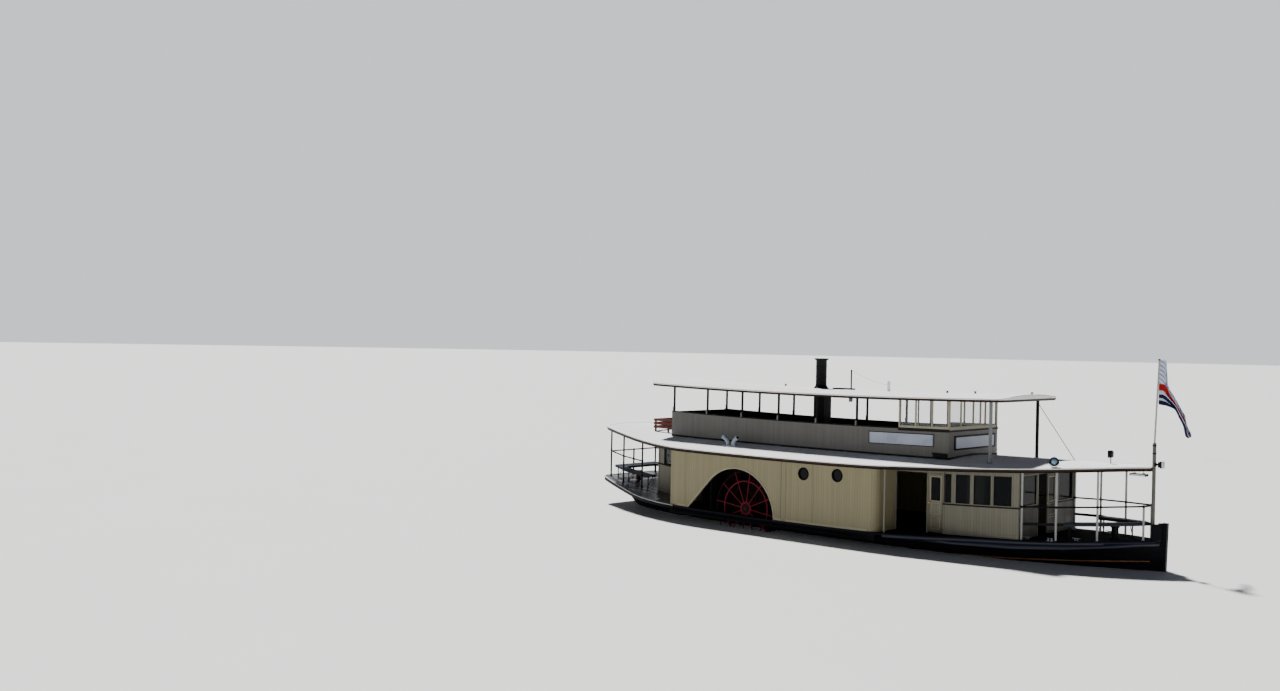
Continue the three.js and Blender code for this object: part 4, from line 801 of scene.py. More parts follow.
def slat(outer, inner, from_share, to_share, height):
    rows = []
    for p, q in zip(outer, inner):
        a, b = ((x, y, deck(x) + height) for x, y in (between(p, q, from_share), between(p, q, to_share)))
        (ax, ay, az), (bx, by, bz) = a, b
        (cx, cy, _), (dx, dy, _) = between(a, b, SLAT_EASE), between(b, a, SLAT_EASE)
        rows.append([(ax, ay, az - SLAT_THICK), (ax, ay, az - 0.005), (cx, cy, az),
                     (dx, dy, bz), (bx, by, bz - 0.005), (bx, by, bz - SLAT_THICK)])
    return loft(rows)


def bench(name, height, edges, legs):
    shape = Shape()
    outer, inner = bench_edges(edges)
    for k in range(SLATS):
        shape.add(slat(outer, inner, k / SLATS + SLAT_GAP, (k + 1) / SLATS - SLAT_GAP, height))
    for line, side in ((outer, -0.02), (inner, 0.02)):
        section = [(u + side, v) for u, v in chamfered(0.024, 0.07)]
        shape.add(sweep(section, lifted(line, deck, height - 0.062), closed=False))
    for (x0, y0), (x1, y1) in legs:
        foot, seat, seat_in = deck(x0) - 0.004, deck(x0) + height, deck(x1) + height
        shape.add(upright(x0, y0, foot, seat - 0.03, 0.022), 1)
        shape.add(lathe(LEG_FOOT, (x0, y0, foot), steps=16), 1)
        shape.add(plank((x0, y0, seat - 0.04), (x1, y1, seat_in - 0.04), 0.04, 0.02), 1)
        shape.add(tube([(x0, y0, deck(x0) + 0.05), (x1, y1, seat_in - 0.06)], 0.013, 8), 1)
    piece(name + "_slats", shape.mirror(), ["bench_paint", "dark_trim"], replaces=[name])


bench("fore_bench", 0.54, FORE_EDGES, FORE_LEGS)
bench("aft_bench", 0.49, AFT_EDGES, AFT_LEGS)

# Funnel, bollards and helm, turned
FUNNEL_BASE = Vector((-0.82, 0, 5.056))
FUNNEL = [(0.186, 1.114), (0.186, 0.15), (0.1, 0.02), (0.285, -0.02), (0.285, 0.012), (0.272, 0.022),
          (0.235, 0.06), (0.212, 0.11), (0.2, 0.15), (0.2, 1.02), (0.212, 1.045), (0.243, 1.062),
          (0.262, 1.07), (0.265, 1.08), (0.265, 1.106), (0.258, 1.114)]
FUNNEL_BAND = [(0.199, -0.02), (0.206, -0.016), (0.206, 0.016), (0.199, 0.02)]
BAND_BOLT, BAND_BOLT_R = [(0, 0), (0.008, 0), (0.006, 0.005), (0, 0.006)], 0.205
shape = Shape().add(lathe(FUNNEL, FUNNEL_BASE, steps=64))
for height in (0.44, 0.80):
    middle = FUNNEL_BASE + UP * height
    shape.add(lathe(FUNNEL_BAND, middle, steps=64))
    for at in around(middle, BAND_BOLT_R, 16):
        shape.add(lathe(BAND_BOLT, at, at - middle, 8))
piece("funnel_turned", shape, "dark_trim", replaces=["funnel"])


def bollard(name, x, y, r, height, key):
    head = [(1, 0.74), (1.05, 0.78), (1.3, 0.82), (1.35, 0.85), (1.35, 0.96), (1.28, 1)]
    profile = [(0, 0), (r * 1.3, 0), (r * 1.3, 0.02), (r, 0.035), *[(r * u, height * v) for u, v in head],
               (0, height + 0.004)]
    band = [(r, height * 0.4), (r + 0.006, height * 0.41), (r + 0.006, height * 0.49), (r, height * 0.5)]
    shape = Shape().add(lathe(profile, (x, y, deck(x) - 0.003), steps=48))
    shape.add(lathe(band, (x, y, deck(x)), steps=48), 1)
    piece(name + "_turned", shape, [key, "iron"], replaces=[name])


bollard("bollard_fore", 10.41, 0, 0.105, 0.42, "dark_trim")
bollard("bollard_aft", -9.6, -0.45, 0.095, 0.35, "fascia")

HELM = Vector((4.56, 0, 3.62))
HELM_RIM = [(0.39, -0.012), (0.398, -0.02), (0.422, -0.02), (0.43, -0.012), (0.43, 0.012), (0.422, 0.02),
            (0.398, 0.02), (0.39, 0.012)]
HELM_HUB = [(0, -0.035), (0.05, -0.035), (0.07, -0.022), (0.075, 0), (0.07, 0.022), (0.05, 0.035), (0, 0.035)]
HELM_SPOKE = [(0, 0.05), (0.014, 0.06), (0.012, 0.16), (0.018, 0.2), (0.012, 0.24), (0.014, 0.38),
              (0.014, 0.44), (0.009, 0.455), (0.015, 0.48), (0.016, 0.5), (0.01, 0.517), (0, 0.52)]
shape = Shape().add(lathe(HELM_RIM, HELM, FORWARD, 72)).add(lathe(HELM_HUB, HELM, FORWARD, 32), 1)
for way in around((0, 0, 0), 1, 8, TO_PORT, UP):
    shape.add(lathe(HELM_SPOKE, HELM, way, 12))
piece("helm_turned", shape, ["varnish", "brass"], "helm", replaces=["helm_wheel"])

# Searchlight, floodlight and pipes on the lower roof
LAMP, LAMP_AIM = Vector((9.11, -1.56, 3.21)), Vector((0.42, -0.9, 0)).normalized()
DRUM = [(0, -0.09), (0.07, -0.085), (0.12, -0.05), (0.138, 0.0), (0.14, 0.09), (0.145, 0.095),
        (0.145, 0.108), (0.106, 0.112), (0.1, 0.1), (0.1, 0.06), (0, 0.055)]
DRUM_LENS = [(0, 0.075), (0.098, 0.075), (0.08, 0.096), (0.04, 0.107), (0, 0.11)]
YOKE_HALF, YOKE_DROP, YOKE_FOOT = 0.142, 0.13, 0.19
shape = Shape().add(lathe(DRUM, LAMP, LAMP_AIM, 48)).add(lathe(DRUM_LENS, LAMP, LAMP_AIM, 48), 1)
for s in (-1, 1):
    pivot = LAMP + LAMP_AIM.cross(UP) * s * YOKE_HALF
    shape.add(tube(rounded([pivot, pivot - UP * YOKE_DROP, LAMP - UP * YOKE_FOOT], 0.08), 0.009, 8))
shape.add(upright(LAMP.x, LAMP.y, roof_top(LAMP.x, LAMP.y) - 0.01, LAMP.z - 0.18, 0.02, 16))
piece("searchlight_drum", shape, ["dark_trim", "lens"], replaces=["searchlight"])

FLOOD_X, FLOOD_Y, FLOOD_POST_TOP = 10.1, 0.3, 3.33
FLOOD_BOX = (10.04, 0.18, 3.30), (10.12, 0.42, 3.53), 0.015
FLOOD_PANE = (10.115, 0.2, 3.32), (10.155, 0.40, 3.51), 0.01
shape = Shape().add(upright(FLOOD_X, FLOOD_Y, roof_top(FLOOD_X, FLOOD_Y) - 0.01, FLOOD_POST_TOP, 0.016))
shape.add(block(*FLOOD_BOX)).add(block(*FLOOD_PANE), 1)
piece("floodlight_box", shape, ["dark_trim", "glass"], replaces=["floodlight"])

PIPE_Y, PIPE_R, PIPE_FOOT_Z, PIPE_BEND_Z, PIPE_MOUTH_Z = -2.3, 0.078, 2.84, 3.04, 3.20
PIPE_RIM = [(0.062, -0.03), (0.078, -0.03), (0.086, -0.024), (0.086, 0.004), (0.080, 0.009), (0.062, 0.004)]
# Painted shade: a black disc in each mouth stands for the dark inside the pipe
PIPE_MOUTH_SHADE = [(0, 0), (0.072, 0), (0.072, 0.003), (0, 0.003)]
PIPE_BASE_X, PIPE_BASE_IN_Y = -3.2, -2.21
base_z, base_top_z = roof_top(PIPE_BASE_X, PIPE_Y) - 0.05, roof_top(PIPE_BASE_X, PIPE_BASE_IN_Y) + 0.02
shape = Shape().add(block((-3.48, -2.39, base_z), (-2.9, PIPE_BASE_IN_Y, base_top_z), 0.012))
for x, way in ((-3.33, -1), (-3.08, 1)):
    mouth = (x + way * 0.21, PIPE_Y - 0.03, PIPE_MOUTH_Z)
    line = rounded([(x, PIPE_Y, PIPE_FOOT_Z), (x, PIPE_Y, PIPE_BEND_Z), mouth], 0.13, 8)
    aim = (line[-1] - line[-2]).normalized()
    shape.add(tube(line, PIPE_R, 28)).add(lathe(PIPE_RIM, mouth, aim, 32))
    shape.add(lathe(PIPE_MOUTH_SHADE, mouth, aim, 32), 1)
piece("cowl_pipes_bent", shape, ["cowl_grey", "hull_paint"], replaces=["cowl_pipes"])

# Glazing: casings, sashes and panes in every opening
SASH, SASH_DEPTH, PROUD, PANE_DEPTHS = 0.03, 0.038, 0.012, (0.025, 0.029)
CABIN_WINDOWS = [(5.56, 5.8), (5.95, 6.47), (6.59, 7.2), (7.29, 7.92)]
AFT_WINDOWS = [(-7.31, -6.6), (-6.4, -5.7)]
FRONT_WINDOW = (-1.8, -0.78)
WHEELHOUSE_SIDE = [(3.6, 4.18), (4.23, 4.805), (4.855, 5.425)]
WHEELHOUSE_FRONT = [(-1.532, -0.842), (-0.798, -0.022), (0.022, 0.798), (0.842, 1.532)]
PANE_FOOT, PANE_HEAD, PANE_HEIGHT, PANE_THICK = 0.105, 0.94, 0.85, 0.003


def rectangle(a0, a1, b0, b1):
    return [(a0, b0), (a1, b0), (a1, b1), (a0, b1)]


def window(shape, corners, out, casing=0.035, clear=False):
    """Corners run anticlockwise seen from outside, on the outer face."""
    corners = [Vector(c) for c in corners]
    board = [(-0.004, -0.002), (-0.004, PROUD - 0.003), (0, PROUD), (casing - 0.004, PROUD),
             (casing, PROUD - 0.004), (casing, -0.002)]
    sash = [(-SASH, -SASH_DEPTH), (-SASH, -0.018), (0.004 - SASH, -0.014), (0.002, -0.014),
            (0.002, -SASH_DEPTH)]
    shape.add(sweep(board, corners, out), 1 if clear else 0)
    shape.add(sweep(sash, corners, out), 1)
    centre = sum(corners, Vector()) / 4
    inset = [c + (centre - c).normalized() * SASH * 0.9 for c in corners]
    shape.add(loft([[c - out * depth for c in inset] for depth in PANE_DEPTHS]), 3 if clear else 2)


def side_corners(x0, x1, low, high, y):
    return [(x, -y, deck(x) + h) for x, h in rectangle(x0, x1, low, high)]


shape = Shape()
for x0, x1 in CABIN_WINDOWS:
    window(shape, side_corners(x0, x1, SILL_H, HEAD_H, CABIN_Y), STARBOARD)
for x0, x1 in AFT_WINDOWS:
    window(shape, side_corners(x0, x1, AFT_SILL_H, HEAD_H, AFT_HOUSE_Y), STARBOARD, casing=0.05, clear=True)
window(shape, [(CABIN_FORE, y, FRONT_BASE + h) for y, h in rectangle(*FRONT_WINDOW, SILL_H, HEAD_H)], FORWARD)
piece("cabin_glazing", shape.mirror(), ["cream_cabin_shade", "dark_trim", "glass", "clear_glass"])

shape = Shape()
for x0, x1 in WHEELHOUSE_SIDE:
    for y in (-1.611, 1.609):
        corners = [(x, sill(x) + h) for x, h in rectangle(x0, x1, PANE_FOOT, PANE_HEAD)]
        shape.add(loft([[(x, v, z) for x, z in corners] for v in (y, y + PANE_THICK)]))
for y0, y1 in WHEELHOUSE_FRONT:
    corners = rectangle(y0, y1, sill(5.47) + PANE_FOOT, sill(5.47) + PANE_FOOT + PANE_HEIGHT)
    shape.add(loft([[(x, y, z) for y, z in corners] for x in (5.443, 5.443 + PANE_THICK)]))
piece("wheelhouse_glass", shape, "clear_glass")


# Trim along the walls: battens, mouldings and corner boards as planks proud of the surface
def strip(shape, points, out, width, proud, mat=0):
    """A moulding of that width along points of a wall, standing proud of it in the direction out."""
    half, sunk, ease = width / 2, 0.004, 0.003
    section = [(-half, -sunk), (half, -sunk), (half, proud - ease), (half - ease, proud),
               (ease - half, proud), (-half, proud - ease)]
    shape.add(sweep(section, points, out, closed=False), mat)


ARCH_X, ARCH_Z, ARCH_R, ARCH_FOOT_X, ARCH_FOOT_Z, ARCH_STEPS = -2.28, 0.42, 1.72, -4.63, 0.45, 48
ARCH_EDGE = [(-0.045, -0.003), (-0.045, 0.010), (-0.040, 0.014), (-0.002, 0.014), (0.004, 0.008),
             (0.004, -0.064), (-0.003, -0.064), (-0.003, -0.003)]


def arch_path():
    """Up the straight flank, over the arch and down to the deck."""
    fx, fz = ARCH_FOOT_X - ARCH_X, ARCH_FOOT_Z - ARCH_Z
    start = math.atan2(fz, fx) - math.acos(ARCH_R / math.hypot(fx, fz))
    turns = [start + (0.02 - start) * k / ARCH_STEPS for k in range(ARCH_STEPS + 1)]
    arc = [(ARCH_X + ARCH_R * math.cos(a), -BOX_Y, ARCH_Z + ARCH_R * math.sin(a)) for a in turns]
    return [(ARCH_FOOT_X, -BOX_Y, ARCH_FOOT_Z), *arc]


# Battens of the paddle box as (x, width, proud, material), a dark line before each
BATTENS = ((-4.73, 0.012, 0.002, 1), (-4.70, 0.045, 0.010, 4), (1.09, 0.012, 0.002, 1),
           (1.12, 0.045, 0.010, 4), (-0.245, 0.012, 0.002, 1), (-0.135, 0.19, 0.014, 4))
CORNER_CLEAR = 0.31    # just past the box's rounded corners
FLAT_AFT, FLAT_FORE = BOX_AFT + CORNER_CLEAR, BOX_FORE - CORNER_CLEAR
PORTHOLES, PORT_R = [(0.71, 2.21), (2.11, 2.27)], 0.183
PORT_RIM = [(PORT_R - 0.006, -0.062), (PORT_R - 0.006, 0.012), (PORT_R, 0.018), (PORT_R + 0.036, 0.014),
            (PORT_R + 0.042, 0.006), (PORT_R + 0.042, -0.003), (PORT_R, -0.003), (PORT_R, -0.062)]
PORT_PANE = [(0, -0.034), (PORT_R - 0.004, -0.034), (PORT_R - 0.004, -0.028), (0, -0.028)]
PORT_BOLT, PORT_BOLTS_R = [(0, 0), (0.009, 0), (0.007, 0.005), (0, 0.007)], 0.205

shape = Shape().add(sweep(ARCH_EDGE, arch_path(), STARBOARD, closed=False))
for x, width, proud, mat in BATTENS:
    ends = [(x, -BOX_Y, deck(x) + 0.01), (x, -BOX_Y, roof_top(x, BOX_Y) - 0.10)]
    strip(shape, ends, STARBOARD, width, proud, mat)
for x0, x1 in ((FLAT_AFT, ARCH_FOOT_X - 0.06), (ARCH_X + ARCH_R + 0.06, FLAT_FORE)):
    strip(shape, line_along(x0, x1, -BOX_Y, deck, 0.045, 12), STARBOARD, 0.07, 0.012)
cornice = line_along(FLAT_AFT, FLAT_FORE, -BOX_Y, roof_top, -0.125, 20)
strip(shape, cornice, STARBOARD, 0.05, 0.018)
for x, z in PORTHOLES:
    centre = (x, -BOX_Y, z)
    shape.add(lathe(PORT_RIM, centre, STARBOARD, 56), 1).add(lathe(PORT_PANE, centre, STARBOARD, 48), 2)
    for at in around((x, -BOX_Y - 0.013, z), PORT_BOLTS_R, 8, FORWARD, UP, 0.5):
        shape.add(lathe(PORT_BOLT, at, STARBOARD, 8), 3)
piece("paddle_box_trim", shape.mirror(), ["trim_paint", "lining_paint", "port_glass", "iron", "cream_paint"])

# Sill mouldings of the lower cabin, of the aft house and of the wheelhouse
FRONT_SILL_Z, WHEELHOUSE_SILL_Z = FRONT_BASE + 0.98, sill(WHEELHOUSE_FORE) - 0.038
CORNER_Y = CABIN_Y + 0.025
shape = Shape()
for x0, x1, y, height, width in ((CABIN_AFT, CABIN_FORE + 0.01, CABIN_Y, 0.98, 0.045),
                                 (AFT_HOUSE_AFT, AFT_HOUSE_FORE, AFT_HOUSE_Y, 1.10, 0.05)):
    strip(shape, line_along(x0, x1, -y, deck, height), STARBOARD, width, 0.028)
front = [(CABIN_FORE, -CORNER_Y, FRONT_SILL_Z), (CABIN_FORE, -0.66, FRONT_SILL_Z)]
strip(shape, front, FORWARD, 0.045, 0.028)
strip(shape, line_along(WHEELHOUSE_AFT, 5.47, -UPPER_Y, sill, -0.038, 8), STARBOARD, 0.05, 0.022)
shape.mirror()
across = [(WHEELHOUSE_FORE, y, WHEELHOUSE_SILL_Z) for y in (-1.66, 1.66)]
strip(shape, across, FORWARD, 0.05, 0.022)
piece("sill_mouldings", shape, "dark_trim")

# Corner boards and kicking boards of the houses, and a dark strip at the foot of the parapet
FOOT_GAP, CORNER_TOP, PARAPET_FOOT = 0.01, HEAD_H + 0.12, 0.035


def standing(x, y, low, high):
    return [(x, y, deck(x) + low), (x, y, deck(x) + high)]


shape = Shape()
corners = (CABIN_FORE - 0.035, CABIN_Y), (CABIN_AFT + 0.03, CABIN_Y), (AFT_HOUSE_AFT + 0.035, AFT_HOUSE_Y)
for x, y in corners:
    strip(shape, standing(x, -y, FOOT_GAP, CORNER_TOP), STARBOARD, 0.06, 0.012)
for x0, x1, y in ((CABIN_AFT, CABIN_FORE, CABIN_Y), (AFT_HOUSE_AFT, AFT_HOUSE_FORE, AFT_HOUSE_Y)):
    strip(shape, line_along(x0, x1, -y, deck, 0.07), STARBOARD, 0.12, 0.014)
strip(shape, standing(CABIN_FORE, -1.93, FOOT_GAP, CORNER_TOP), FORWARD, 0.06, 0.012)
strip(shape, standing(CABIN_FORE, -0.685, FOOT_GAP, 2.0), FORWARD, 0.05, 0.014)
foot = line_along(-6.74, 5.46, -UPPER_Y, roof_top, PARAPET_FOOT, 24)
strip(shape, foot, STARBOARD, 0.06, 0.012, 1)
shape.mirror()
across = [(y, roof_top(WHEELHOUSE_FORE, min(abs(y), 1.6)) + PARAPET_FOOT) for y in (-1.64, 0, 1.64)]
strip(shape, [(WHEELHOUSE_FORE, y, z) for y, z in across], FORWARD, 0.06, 0.012, 1)
piece("house_trim", shape, ["cream_cabin_shade", "hull_paint"])

# Light feet of the posts on the parapet, painted light where the lower part of each post is lit, and the dark
# outlet at its fore end
OUTLET = (4.90, -1.668, 3.02), (5.44, -1.62, 3.155), 0.008
OUTLET_HOOD = (4.87, -1.67, 3.165), (5.47, -1.67, 3.165), 0.07, 0.02
FOOT_Y, FOOT_AFT = -1.619, 0.025
shape = Shape()
for x in (post - FOOT_AFT for post in OPEN_POSTS):
    shape.add(plate(x, FOOT_Y, sill(x) + 0.024, sill(x) + 0.19, 0.032, 0.035, 0.006))
shape.add(block(*OUTLET), 1).add(plank(*OUTLET_HOOD), 1)
piece("parapet_fittings", shape.mirror(), ["post_paint", "dark_trim"])


# Blank name boards: a framed panel on each side and a broader one across the front
def name_board(shape, corners, out, border, thick):
    corners = [Vector(c) for c in corners]
    centre = sum(corners, Vector()) / 4
    surround = [(0, -0.004), (0, thick), (-0.006, thick + 0.004), (-border, thick + 0.004),
                (-border - 0.004, thick - 0.004), (-border - 0.004, -0.004)]
    panel = [c + (centre - c) * 0.002 for c in corners]
    line = [c + (centre - c).normalized() * (border + 0.03) for c in corners]
    bead = [(-0.008, thick - 0.008), (-0.008, thick - 0.002), (0, thick - 0.001), (0, thick - 0.008)]
    shape.add(sweep(surround, corners, out), 1)
    shape.add(loft([[c + out * d for c in panel] for d in (-0.003, thick - 0.006)]))
    shape.add(sweep(bead, line, out), 1)


SIDE_BOARD = [(2.385, 3.33), (4.925, 3.37), (4.925, 3.78), (2.385, 3.74)]
FRONT_BOARD = rectangle(-1.28, 1.44, 3.27, 3.75)
shape = Shape()
name_board(shape, [(x, -1.638, z) for x, z in SIDE_BOARD], STARBOARD, 0.018, 0.022)
shape.mirror()
name_board(shape, [(5.477, y, z) for y, z in FRONT_BOARD], FORWARD, 0.055, 0.026)
piece("name_boards_blank", shape, ["board_white", "dark_trim"])

# Rim of the deck: a light half-round band round the stern, and a board under it and along the bow
STERN_X, BOW_X = -5.2, 3.8
deck_edge = [Vector((p.x, -p.y, deck(p.x))) for p in smooth_line(DECK_PLAN, 110)]
stern = [p for p in deck_edge if p.x < STERN_X]
stern = [*(Vector((p.x, -p.y, p.z)) for p in reversed(stern)), *stern]
bow = [p for p in deck_edge if p.x > BOW_X]
under = eased(-0.03, 0.016, -0.14, -0.034)
bow_under = [(u, v + 0.01) for u, v in under]
shape = Shape().add(sweep(rolled(0.012, -0.036, 0.022, inner=-0.03), stern, closed=False))
shape.add(sweep(under, stern, closed=False), 1)
for line in (bow, [Vector((p.x, -p.y, p.z)) for p in reversed(bow)]):
    shape.add(sweep(bow_under, line, closed=False), 2)
piece("deck_rim", shape, ["post_light", "hull_paint", "navy_paint"], crease=50)

# Gold line along the hull, laid on its planking
GOLD_AFT, GOLD_FORE, GOLD_Z, GOLD_SHEER, GOLD_HALF = 5.0, 11.6, -0.127, 0.0028, 0.018
SUNK, RAISED = 0.006, 0.004
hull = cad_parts["hull"].data
planking = BVHTree.FromPolygons([v.co for v in hull.vertices], [list(p.vertices) for p in hull.polygons])
rows = []
for x, _, z in line_along(GOLD_AFT, GOLD_FORE, 0, lambda x, y: GOLD_SHEER * run(x), GOLD_Z, 90):
    low, high = (planking.ray_cast(Vector((x, -4, z + h)), TO_PORT)[0].y for h in (-GOLD_HALF, GOLD_HALF))
    rows.append([(x, low + SUNK, z - GOLD_HALF), (x, low - RAISED, z - GOLD_HALF),
                 (x, high - RAISED, z + GOLD_HALF), (x, high + SUNK, z + GOLD_HALF)])
piece("gold_stripe", Shape().add(loft(rows)).mirror(), "gold_line")

# Doors: knobs, hinges, panel mouldings and a pane for each leaf
KNOB = [(0, 0), (0.028, 0), (0.028, 0.004), (0.010, 0.008), (0.009, 0.03), (0.024, 0.042), (0.026, 0.054),
        (0.016, 0.064), (0, 0.066)]
PANEL_BEAD = [(-0.014, -0.003), (-0.014, 0.004), (-0.007, 0.009), (0, 0.004), (0, -0.003)]
LIGHT_BEAD = [(-0.012, -0.009), (-0.012, 0.004), (-0.004, 0.008), (0.012, 0.005), (0.016, -0.003),
              (0, -0.003), (0, -0.009)]
DOOR_BEADS = ((0.11, 0.12, 0.54, PANEL_BEAD), (0.11, 0.60, 0.98, PANEL_BEAD), (0.09, 1.05, 1.84, LIGHT_BEAD))
PANE_INSET, PANE_LOW, PANE_TOP = 0.093, 1.053, 1.837
KNOB_IN, KNOB_H, HINGE_HEIGHTS = 0.045, 0.98, (0.25, 1.0, 1.7)


def door_fittings(node, along_x, plane, lock, hinge, base):
    shape = Shape()

    def at(along, through, up):
        return Vector((along, plane + through, base + up) if along_x else (plane + through, along, base + up))

    for face in (-1, 1):
        out = at(0, face, 0) - at(0, 0, 0)
        order = -1 if (face > 0) == along_x else 1
        shape.add(lathe(KNOB, at(lock + KNOB_IN, face * 0.019, KNOB_H), out, 24))
        for inset, low, high, bead in DOOR_BEADS:
            path = [at(u, face * 0.02, v) for u, v in rectangle(lock + inset, hinge - inset, low, high)]
            shape.add(sweep(bead, path[::order], out), 1)
    corners = rectangle(lock + PANE_INSET, hinge - PANE_INSET, PANE_LOW, PANE_TOP)
    shape.add(loft([[at(u, d, v) for u, v in corners] for d in (-PANE_THICK, PANE_THICK)]), 2)
    for up in HINGE_HEIGHTS:
        foot = at(hinge - 0.008, 0.014 if node == "aft_door" else 0, up)
        shape.add(tube([foot, foot + UP * 0.09], 0.009, 10))
    piece(node + "_fittings", shape, ["brass", "trim_paint", "glass"], node)


for node, values in DOORS.items():
    door_fittings(node, *values)

# Flag: cloth hanging from its hoist, drawn in folds toward the tail. Edges are (along, height) in its plane.
# Stripes are (lower limit as a share of the hoist, finish), under a hatched field with navy bars at its tail.
FLAG_X, FLAG_DIR, HOIST, FLY, FOLDS = 11.645, Vector((0.552, 0.834, 0)), 1.34, 2.2, 5
FLAG_UPPER = [(0.045, 6.40), (0.28, 6.40), (0.315, 5.67), (0.45, 5.45), (0.65, 5.12), (0.79, 4.91),
              (0.88, 4.79), (0.975, 4.48), (1.145, 4.19), (1.165, 4.09)]
FLAG_LOWER = [(0.045, 5.06), (0.39, 5.0), (0.61, 4.9), (0.78, 4.6), (0.99, 4.29), (1.05, 4.09), (1.12, 4.03)]
FLAG_ALONG, FLAG_DOWN, CLOTH_HALF = 72, 60, 0.0012
FIELD, FIELD_BAR = 0.552, 0.11
STRIPES = [(0.70, "flag_red"), (0.78, "flag_white"), (0.87, "flag_navy"), (0.915, "flag_white")]
CLOTHS = ["flag_white", "flag_red", "flag_navy", "flag_blue"]


def by_length(line, count):
    """Points at equal steps along a polyline."""
    line = [Vector(p) for p in line]
    lengths = [0.0]
    for a, b in zip(line, line[1:]):
        lengths.append(lengths[-1] + (b - a).length)
    out = []
    for k in range(count + 1):
        want = lengths[-1] * k / count
        i = next(i for i in range(1, len(line)) if lengths[i] >= want - 1e-9)
        out.append(line[i - 1].lerp(line[i], (want - lengths[i - 1]) / (lengths[i] - lengths[i - 1])))
    return out


def cloth_row(k, a, b):
    """The cloth from its upper edge to its lower edge, at step k along the fly, in waves that deepen as the
    edges close."""
    across = Vector((-FLAG_DIR.y, FLAG_DIR.x, 0))
    share, row = k / FLAG_ALONG, []
    depth = math.sqrt(max(HOIST ** 2 - (b - a).length ** 2, 0)) / (4 * FOLDS)
    drift = 0.035 * math.sin(2.6 * math.pi * share) * min(1, 4 * share)
    for j in range(FLAG_DOWN + 1):
        v = j / FLAG_DOWN
        wave = math.sin(2 * math.pi * FOLDS * v + 1.1 * share + 0.5 * math.sin(5 * v))
        wave -= math.sin(1.1 * share) * (1 - v)
        p = a.lerp(b, v)
        row.append(Vector((FLAG_X, 0, p.y)) + FLAG_DIR * p.x + across * (depth * wave + drift))
    return row


def flag_finish(k, j):
    """The finish of the face at step k along the fly and j round the cloth's front and back."""
    v = (min(j, 2 * FLAG_DOWN + 1 - j) + 0.5) / FLAG_DOWN
    if v >= FIELD:
        return next((key for limit, key in STRIPES if v <= limit), "flag_navy")
    if k > FLAG_ALONG * 0.5 and int(v / FIELD_BAR) % 2 == 0:
        return "flag_navy"
    return "flag_blue" if (k + j) % 6 < 2 else "flag_white"


def make_flag():
    upper, lower = (by_length(smooth_line(line, 90), FLAG_ALONG) for line in (FLAG_UPPER, FLAG_LOWER))
    cloth = [cloth_row(k, a, b) for k, (a, b) in enumerate(zip(upper, lower))]
    rows = []
    for k, row in enumerate(cloth):
        after, before = cloth[min(k + 1, FLAG_ALONG)], cloth[max(k - 1, 0)]
        front, back = [], []
        for j, p in enumerate(row):
            down = row[min(j + 1, FLAG_DOWN)] - row[max(j - 1, 0)]
            normal = (after[j] - before[j]).cross(down).normalized()
            front.append(p + normal * CLOTH_HALF)
            back.append(p - normal * CLOTH_HALF)
        rows.append(front + back[::-1])
    shape = Shape().add(loft(rows))
    around_cloth = range(2 * (FLAG_DOWN + 1))
    mats = [CLOTHS.index(flag_finish(k, j)) for k in range(FLAG_ALONG) for j in around_cloth]
    shape.mats[:len(mats)] = mats
    return piece("flag_folded", shape, CLOTHS, replaces=["flag"], crease=60)


STAFF_KNEE, STAFF_TIP = Vector((11.59, 0, 3.88)), Vector((11.685, 0, 6.42))
TIE_R, TIE_HEIGHTS = 0.031, (6.32, 5.13)


def on_staff(z):
    return STAFF_KNEE.lerp(STAFF_TIP, (z - STAFF_KNEE.z) / (STAFF_TIP.z - STAFF_KNEE.z))


shape = Shape()
for z in TIE_HEIGHTS:
    centre, hem = on_staff(z), Vector((FLAG_X, 0, z)) + FLAG_DIR * 0.047
    loop = around(centre, TIE_R, 24, FORWARD, Vector((0, 1, 0.06)))
    shape.add(tube([*loop, loop[0]], 0.004, 8))
    shape.add(tube([centre + (hem - centre).normalized() * TIE_R, hem], 0.004, 8))
shape.add(tube([Vector((FLAG_X, 0, z)) + FLAG_DIR * 0.046 for z in (6.40, 5.95, 5.5, 5.06)], 0.005, 8))
halyard = [on_staff(z) + Vector((-0.02, 0.030, 0)) for z in (6.36, 5.6, 4.8, 4.02)]
shape.add(tube([*halyard, (11.595, 0.062, 3.9), (11.6, 0.064, 1.95)], 0.003, 6))
tie_piece = piece("flag_ties", shape, "rope")
make_flag()

# Flagstaff: a stout spar to the knee, a thin pole above it, its bands, truck, cleat and lamp
SPAR_FOOT = Vector((STAFF_KNEE.x, 0, deck(STAFF_KNEE.x)))
SPAR = STAFF_KNEE.z - SPAR_FOOT.z
SPAR_PROFILE = [(0, -0.004), (0.055, -0.004), (0.055, SPAR - 0.03), (0.045, SPAR - 0.006), (0, SPAR)]
STAFF_BAND = [(0.052, -0.02), (0.062, -0.018), (0.062, 0.018), (0.052, 0.02)]
TRUCK = [(0, 0), (0.03, 0), (0.042, 0.014), (0.04, 0.03), (0.02, 0.042), (0, 0.044)]
LAMP_RIM = [(-0.02, -0.01), (-0.02, 0.012), (-0.004, 0.014), (0, 0.01), (0, -0.01)]
STAFF_BANDS, LAMP_FACE_X = (3.56, 3.80), 11.865
STAFF_CLEAT = (11.585, 0.050, 1.90), (11.61, 0.072, 2.0), 0.006
LAMP_BRACKET = (11.635, -0.02, 3.20), (11.73, 0.02, 3.25), 0.006
LAMP_PLATE = (11.62, -0.07, 3.17), (11.648, 0.07, 3.28), 0.006
LAMP_BACK = (11.72, -0.075, 3.14), (11.80, 0.075, 3.31), 0.02
LAMP_BODY = (11.79, -0.09, 3.12), (LAMP_FACE_X, 0.09, 3.33), 0.015
LAMP_PANE = (11.85, -0.072, 3.138), (11.872, 0.072, 3.312), 0.006
